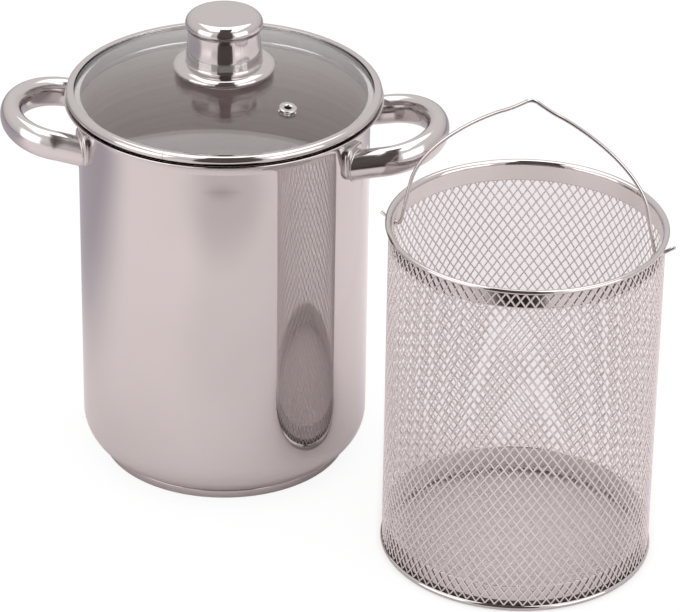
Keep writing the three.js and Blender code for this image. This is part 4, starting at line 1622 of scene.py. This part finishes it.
@dataclass
class Studio:
    """The pale floor with its painted shade, the soft lights, the dark room before the part, and the camera,
    in millimetres.
    """

    camera_place: Spot = (217.72, -1929.58, 1169.56)
    camera_right: Spot = (0.99624, 0.08566, 0.01296)
    camera_up: Spot = (-0.05303, 0.48466, 0.87309)
    camera_forward: Spot = (-0.06851, 0.8705, -0.48738)
    camera_far_m: float = 20.0
    lens: float = 206.82
    sensor: float = 36.0
    floor_half: float = 4000.0
    floor_low: float = -0.4
    floor_colour: str = "#E6DEDF"
    fibre_colour: str = "#EAE3E4"
    fibre_scale: float = 300.0
    # Painted shade on the floor far back, towards far_way, which the camera doesn't see.
    far_shade_tone: str = "#ABA6AE"
    far_way: Point = (-0.5, 0.87)
    far_range: Point = (30.0, 280.0)
    white_share: float = 0.9
    backdrop_colour: str = "#FFFFFF"
    horizon_colour: str = "#E0DCDB"
    zenith_colour: str = "#F4F0EF"
    # The height of a direction, as a share of its length, where the room is brightest.
    zenith_from: float = 0.5
    dark_colour: str = "#5F5857"
    # The colour of the painted shadow on the floor before the part.
    painted_shadow_colour: str = "#262323"
    dark_azimuth: float = 4.5
    dark_shift: float = 66.0
    # Painted shadow on the floor before the part, seen in the part's reflections.
    painted_shadow_steps: tuple[PaintedShadowStep, ...] = (
        PaintedShadowStep((120.0, 260.0), 120.0, (150.0, 300.0), 0.09),
        PaintedShadowStep((340.0, 430.0), 25.0, (100.0, 330.0), 0.18),
        PaintedShadowStep((447.0, 503.0), 43.0, (190.0, 245.0), 0.73),
    )
    # Reach, height and half width of the dark room's edges.
    dark_profile: tuple[Spot, ...] = (
        (720.0, 1.0, 300.0),
        (720.0, 700.0, 300.0),
        (500.0, 1100.0, 220.0),
        (100.0, 1200.0, 170.0),
        (0.0, 1200.0, 160.0),
    )
    # Painted shade where the paper shows through the basket: a darker paper under it, which the lamps shade
    # as well, and a darker tone behind it that stands in for its shadow.
    painted_shadow_tone: str = "#EAE4E7"
    under_shade_tone: str = "#E0D9DB"
    shade_range: Point = (-30.0, 60.0)
    shade_soft: float = 18.0
    # Middle and radius of the shaded paper's two round ends.
    shade_ends: tuple[Spot, ...] = ((172.4, -93.0, 78.0), (163.2, 281.3, 88.0))
    boxes: tuple[Softbox, ...] = (
        Softbox("top_softbox", (60.0, 120.0, 1400.0), (60.0, 100.0, 0.0), 10.0),
        Softbox("left_softbox", (-1500.0, -1150.0, 700.0), (0.0, 0.0, 150.0), 9.0),
        Softbox("right_softbox", (1650.0, -1050.0, 700.0), (100.0, -50.0, 150.0), 9.0),
    )

    def build(self) -> None:
        """Sets up everything that isn't the part."""
        self.camera()
        self.floor()
        self.painted_shade_paper()
        self.dark_front()
        self.world()
        for box in self.boxes:
            box.hang()
        bpy.context.scene.view_settings.view_transform = "Standard"

    def camera(self) -> None:
        """Makes the camera that was fitted to the photograph."""
        data = bpy.data.cameras.new("photo_camera")
        data.sensor_fit = "HORIZONTAL"
        data.sensor_width = self.sensor
        data.lens = self.lens
        data.clip_end = self.camera_far_m
        eye = linked("photo_camera", data)
        axes = Matrix((self.camera_right, self.camera_up, [-v for v in self.camera_forward])).transposed()
        eye.matrix_world = Matrix.Translation(Vector(self.camera_place) * MM) @ axes.to_4x4()
        bpy.context.scene.camera = eye

    def staged(
        self, name: str, points: Sequence[Spot], faces: Sequence[tuple[int, ...]], material: Material
    ) -> Piece:
        """Makes a flat mesh that isn't part of the object.

        Args:
            name: its name.
            points: its points, in millimetres.
            faces: the numbers of each face's points.
            material: its material.

        Returns:
            The mesh's object, linked to the scene.
        """
        mesh = bpy.data.meshes.new(name)
        mesh.from_pydata([Vector(p) * MM for p in points], [], faces)
        mesh.materials.append(material)
        made = linked(name, mesh)
        return made

    def dark_ways(self) -> tuple[Vector, Vector]:
        """Gives the level directions out from the part to the dark room, and to its right."""
        turn = math.radians(self.dark_azimuth)
        return Vector((math.sin(turn), -math.cos(turn), 0)), Vector((math.cos(turn), math.sin(turn), 0))

    def floor(self) -> None:
        """Lays the pale floor: nearly white to the camera, with painted shade far back and a painted shadow
        before the part, which only the part's reflections and bounced light show.
        """
        half, low = self.floor_half, self.floor_low
        corners = ((-half, -half, low), (half, -half, low), (half, half, low), (-half, half, low))
        material, tree = blank_material("paper_matte_white")
        place = own_place(tree)
        ways = [Vector(way) / MM for way in (*self.dark_ways(), (*self.far_way, 0))]
        along, across, behind = (
            node_out(tree, "ShaderNodeVectorMath", {0: place, 1: way}, "Value", operation="DOT_PRODUCT")
            for way in ways
        )
        # The painted shadow before the part, built up step by step.
        dark: Any = 0.0
        for step in self.painted_shadow_steps:
            aside = maths(tree, "ABSOLUTE", maths(tree, "SUBTRACT", across, step.middle))
            front = ramp(tree, along, *step.front, 0.0, step.share)
            middle = ramp(tree, aside, *step.sides, 1.0, 0.0)
            dark = maths(tree, "MULTIPLY_ADD", front, middle, dark)
        fibre = node_out(tree, "ShaderNodeTexNoise", {"Vector": place, "Scale": self.fibre_scale}, "Fac")
        far = ramp(tree, behind, *self.far_range)
        # The paper's fibres, then painted shade far back and the painted shadow before the part.
        colour: Any = self.floor_colour
        layers = ((fibre, self.fibre_colour), (far, self.far_shade_tone), (dark, self.painted_shadow_colour))
        for share, upper in layers:
            colour = blend(tree, share, colour, upper)
        self.paper(tree, colour, self.backdrop_colour, self.white_share)
        self.staged("floor", corners, [(0, 1, 2, 3)], material)

    @staticmethod
    def seen_directly(tree: Tree) -> Socket:
        """Tells the rays that show the white background: the camera's own and those through glass.

        Args:
            tree: the material's or the world's tree.

        Returns:
            A socket that is 1 for such a ray and 0 for any other.
        """
        path = add_node(tree, "ShaderNodeLightPath")
        rays = (path.outputs["Is Camera Ray"], path.outputs["Is Transmission Ray"])
        return maths(tree, "MAXIMUM", *rays)

    def paper(self, tree: Tree, colour: Any, seen: Any, share: Any) -> None:
        """Ends a paper's tree: matte in the light, and mostly one tone to the camera.

        Args:
            tree: the material's tree.
            colour: the paper's own colour, or the socket that carries it.
            seen: the tone that the camera sees, or the socket that carries it.
            share: how much of what the camera sees is that tone, or the socket that carries it.
        """
        direct = self.seen_directly(tree)
        matte = node_out(tree, "ShaderNodeBsdfDiffuse", {"Color": blend(tree, direct, colour, seen)})
        tone = node_out(tree, "ShaderNodeEmission", {"Color": toned(seen), "Strength": 1.0})
        surface(tree, "ShaderNodeMixShader", {0: maths(tree, "MULTIPLY", direct, share), 1: matte, 2: tone})

    def painted_shade_paper(self) -> None:
        """Lays painted shade on the paper that shows through the basket: a darker paper under it, which the
        lamps also shade, and behind it a darker tone that stands in for its shadow.
        """
        material, tree = blank_material("paper_matte_painted_shade")
        parts = add_node(tree, "ShaderNodeSeparateXYZ", {0: own_place(tree)})
        back = ramp(tree, parts.outputs["Y"], *(y * MM for y in self.shade_range))
        # Painted shade: the darker paper under the basket, fading to the shadow tone behind it.
        tone = blend(tree, back, self.under_shade_tone, self.painted_shadow_tone)
        inner = node_out(tree, "ShaderNodeAttribute", output="Fac", attribute_name="depth")
        seen = blend(tree, inner, self.backdrop_colour, tone)
        share = between(tree, inner, self.white_share, maths(tree, "MULTIPLY", back, self.white_share))
        self.paper(tree, self.floor_colour, seen, share)
        (x0, y0, r0), (x1, y1, r1) = self.shade_ends
        points = []
        for inset in (0.0, self.shade_soft):
            points += arc((x0, y0), r0 - inset, 180, 360, 40)
            points += arc((x1, y1), r1 - inset, 0, 180, 40)
        count = len(points) // 2
        edge = [(i, (i + 1) % count, count + (i + 1) % count, count + i) for i in range(count)]
        faces = [*edge, tuple(range(count, 2 * count))]
        spots = [(x, y, self.floor_low / 2) for x, y in points]
        made = self.staged("painted_shade_paper", spots, faces, material)
        depth = made.data.attributes.new("depth", "FLOAT", "POINT")
        depth.data.foreach_set("value", [0.0] * count + [1.0] * count)
        made.visible_shadow = False

    def dark_front(self) -> None:
        """Hangs the dark room before the paper and over it, seen only in the part's reflections."""
        out, side = self.dark_ways()
        start = side * self.dark_shift
        material, tree = blank_material("felt_black")
        surface(tree, "ShaderNodeBsdfDiffuse", {"Color": linear(self.dark_colour)})
        for i, (near, far) in enumerate(zip(self.dark_profile, self.dark_profile[1:])):
            low, high = (start + out * reach + UP * z for reach, z, half in (near, far))
            w, v = side * near[2], side * far[2]
            corners = [low - w, low + w, high + v, high - v]
            made = self.staged(f"dark_front_{i}", corners, [(0, 1, 2, 3)], material)
            made.visible_camera = False
            made.visible_shadow = False
            made.visible_diffuse = False
            made.visible_transmission = False

    def world(self) -> None:
        """Fills the room with white that dims a little towards the horizon."""
        world = bpy.data.worlds.new("studio_white")
        bpy.context.scene.world = world
        world.use_nodes = True
        tree = world.node_tree
        tree.nodes.clear()
        way = node_out(tree, "ShaderNodeTexCoord", output="Generated")
        parts = add_node(tree, "ShaderNodeSeparateXYZ", {0: way})
        rise = ramp(tree, parts.outputs["Z"], 0.0, self.zenith_from)
        room = blend(tree, rise, self.horizon_colour, self.zenith_colour)
        seen = blend(tree, self.seen_directly(tree), room, self.backdrop_colour)
        light = node_out(tree, "ShaderNodeBackground", {"Color": seen, "Strength": 1.0})
        add_node(tree, "ShaderNodeOutputWorld", {"Surface": light})


def main() -> None:
    """Builds the studio and the part, in order."""
    logging.basicConfig(level=logging.INFO, format="%(message)s")
    Studio().build()
    low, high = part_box("basket_top_band")
    centre = ((low.x + high.x) / 2 / MM, (low.y + high.y) / 2 / MM)
    finishes = Finishes.made(centre)
    Pot(finishes).build()
    Lid(finishes).build()
    Basket(finishes, centre=centre).build()
    Bail(finishes, centre=centre).build()


if __name__ == "__main__":
    main()
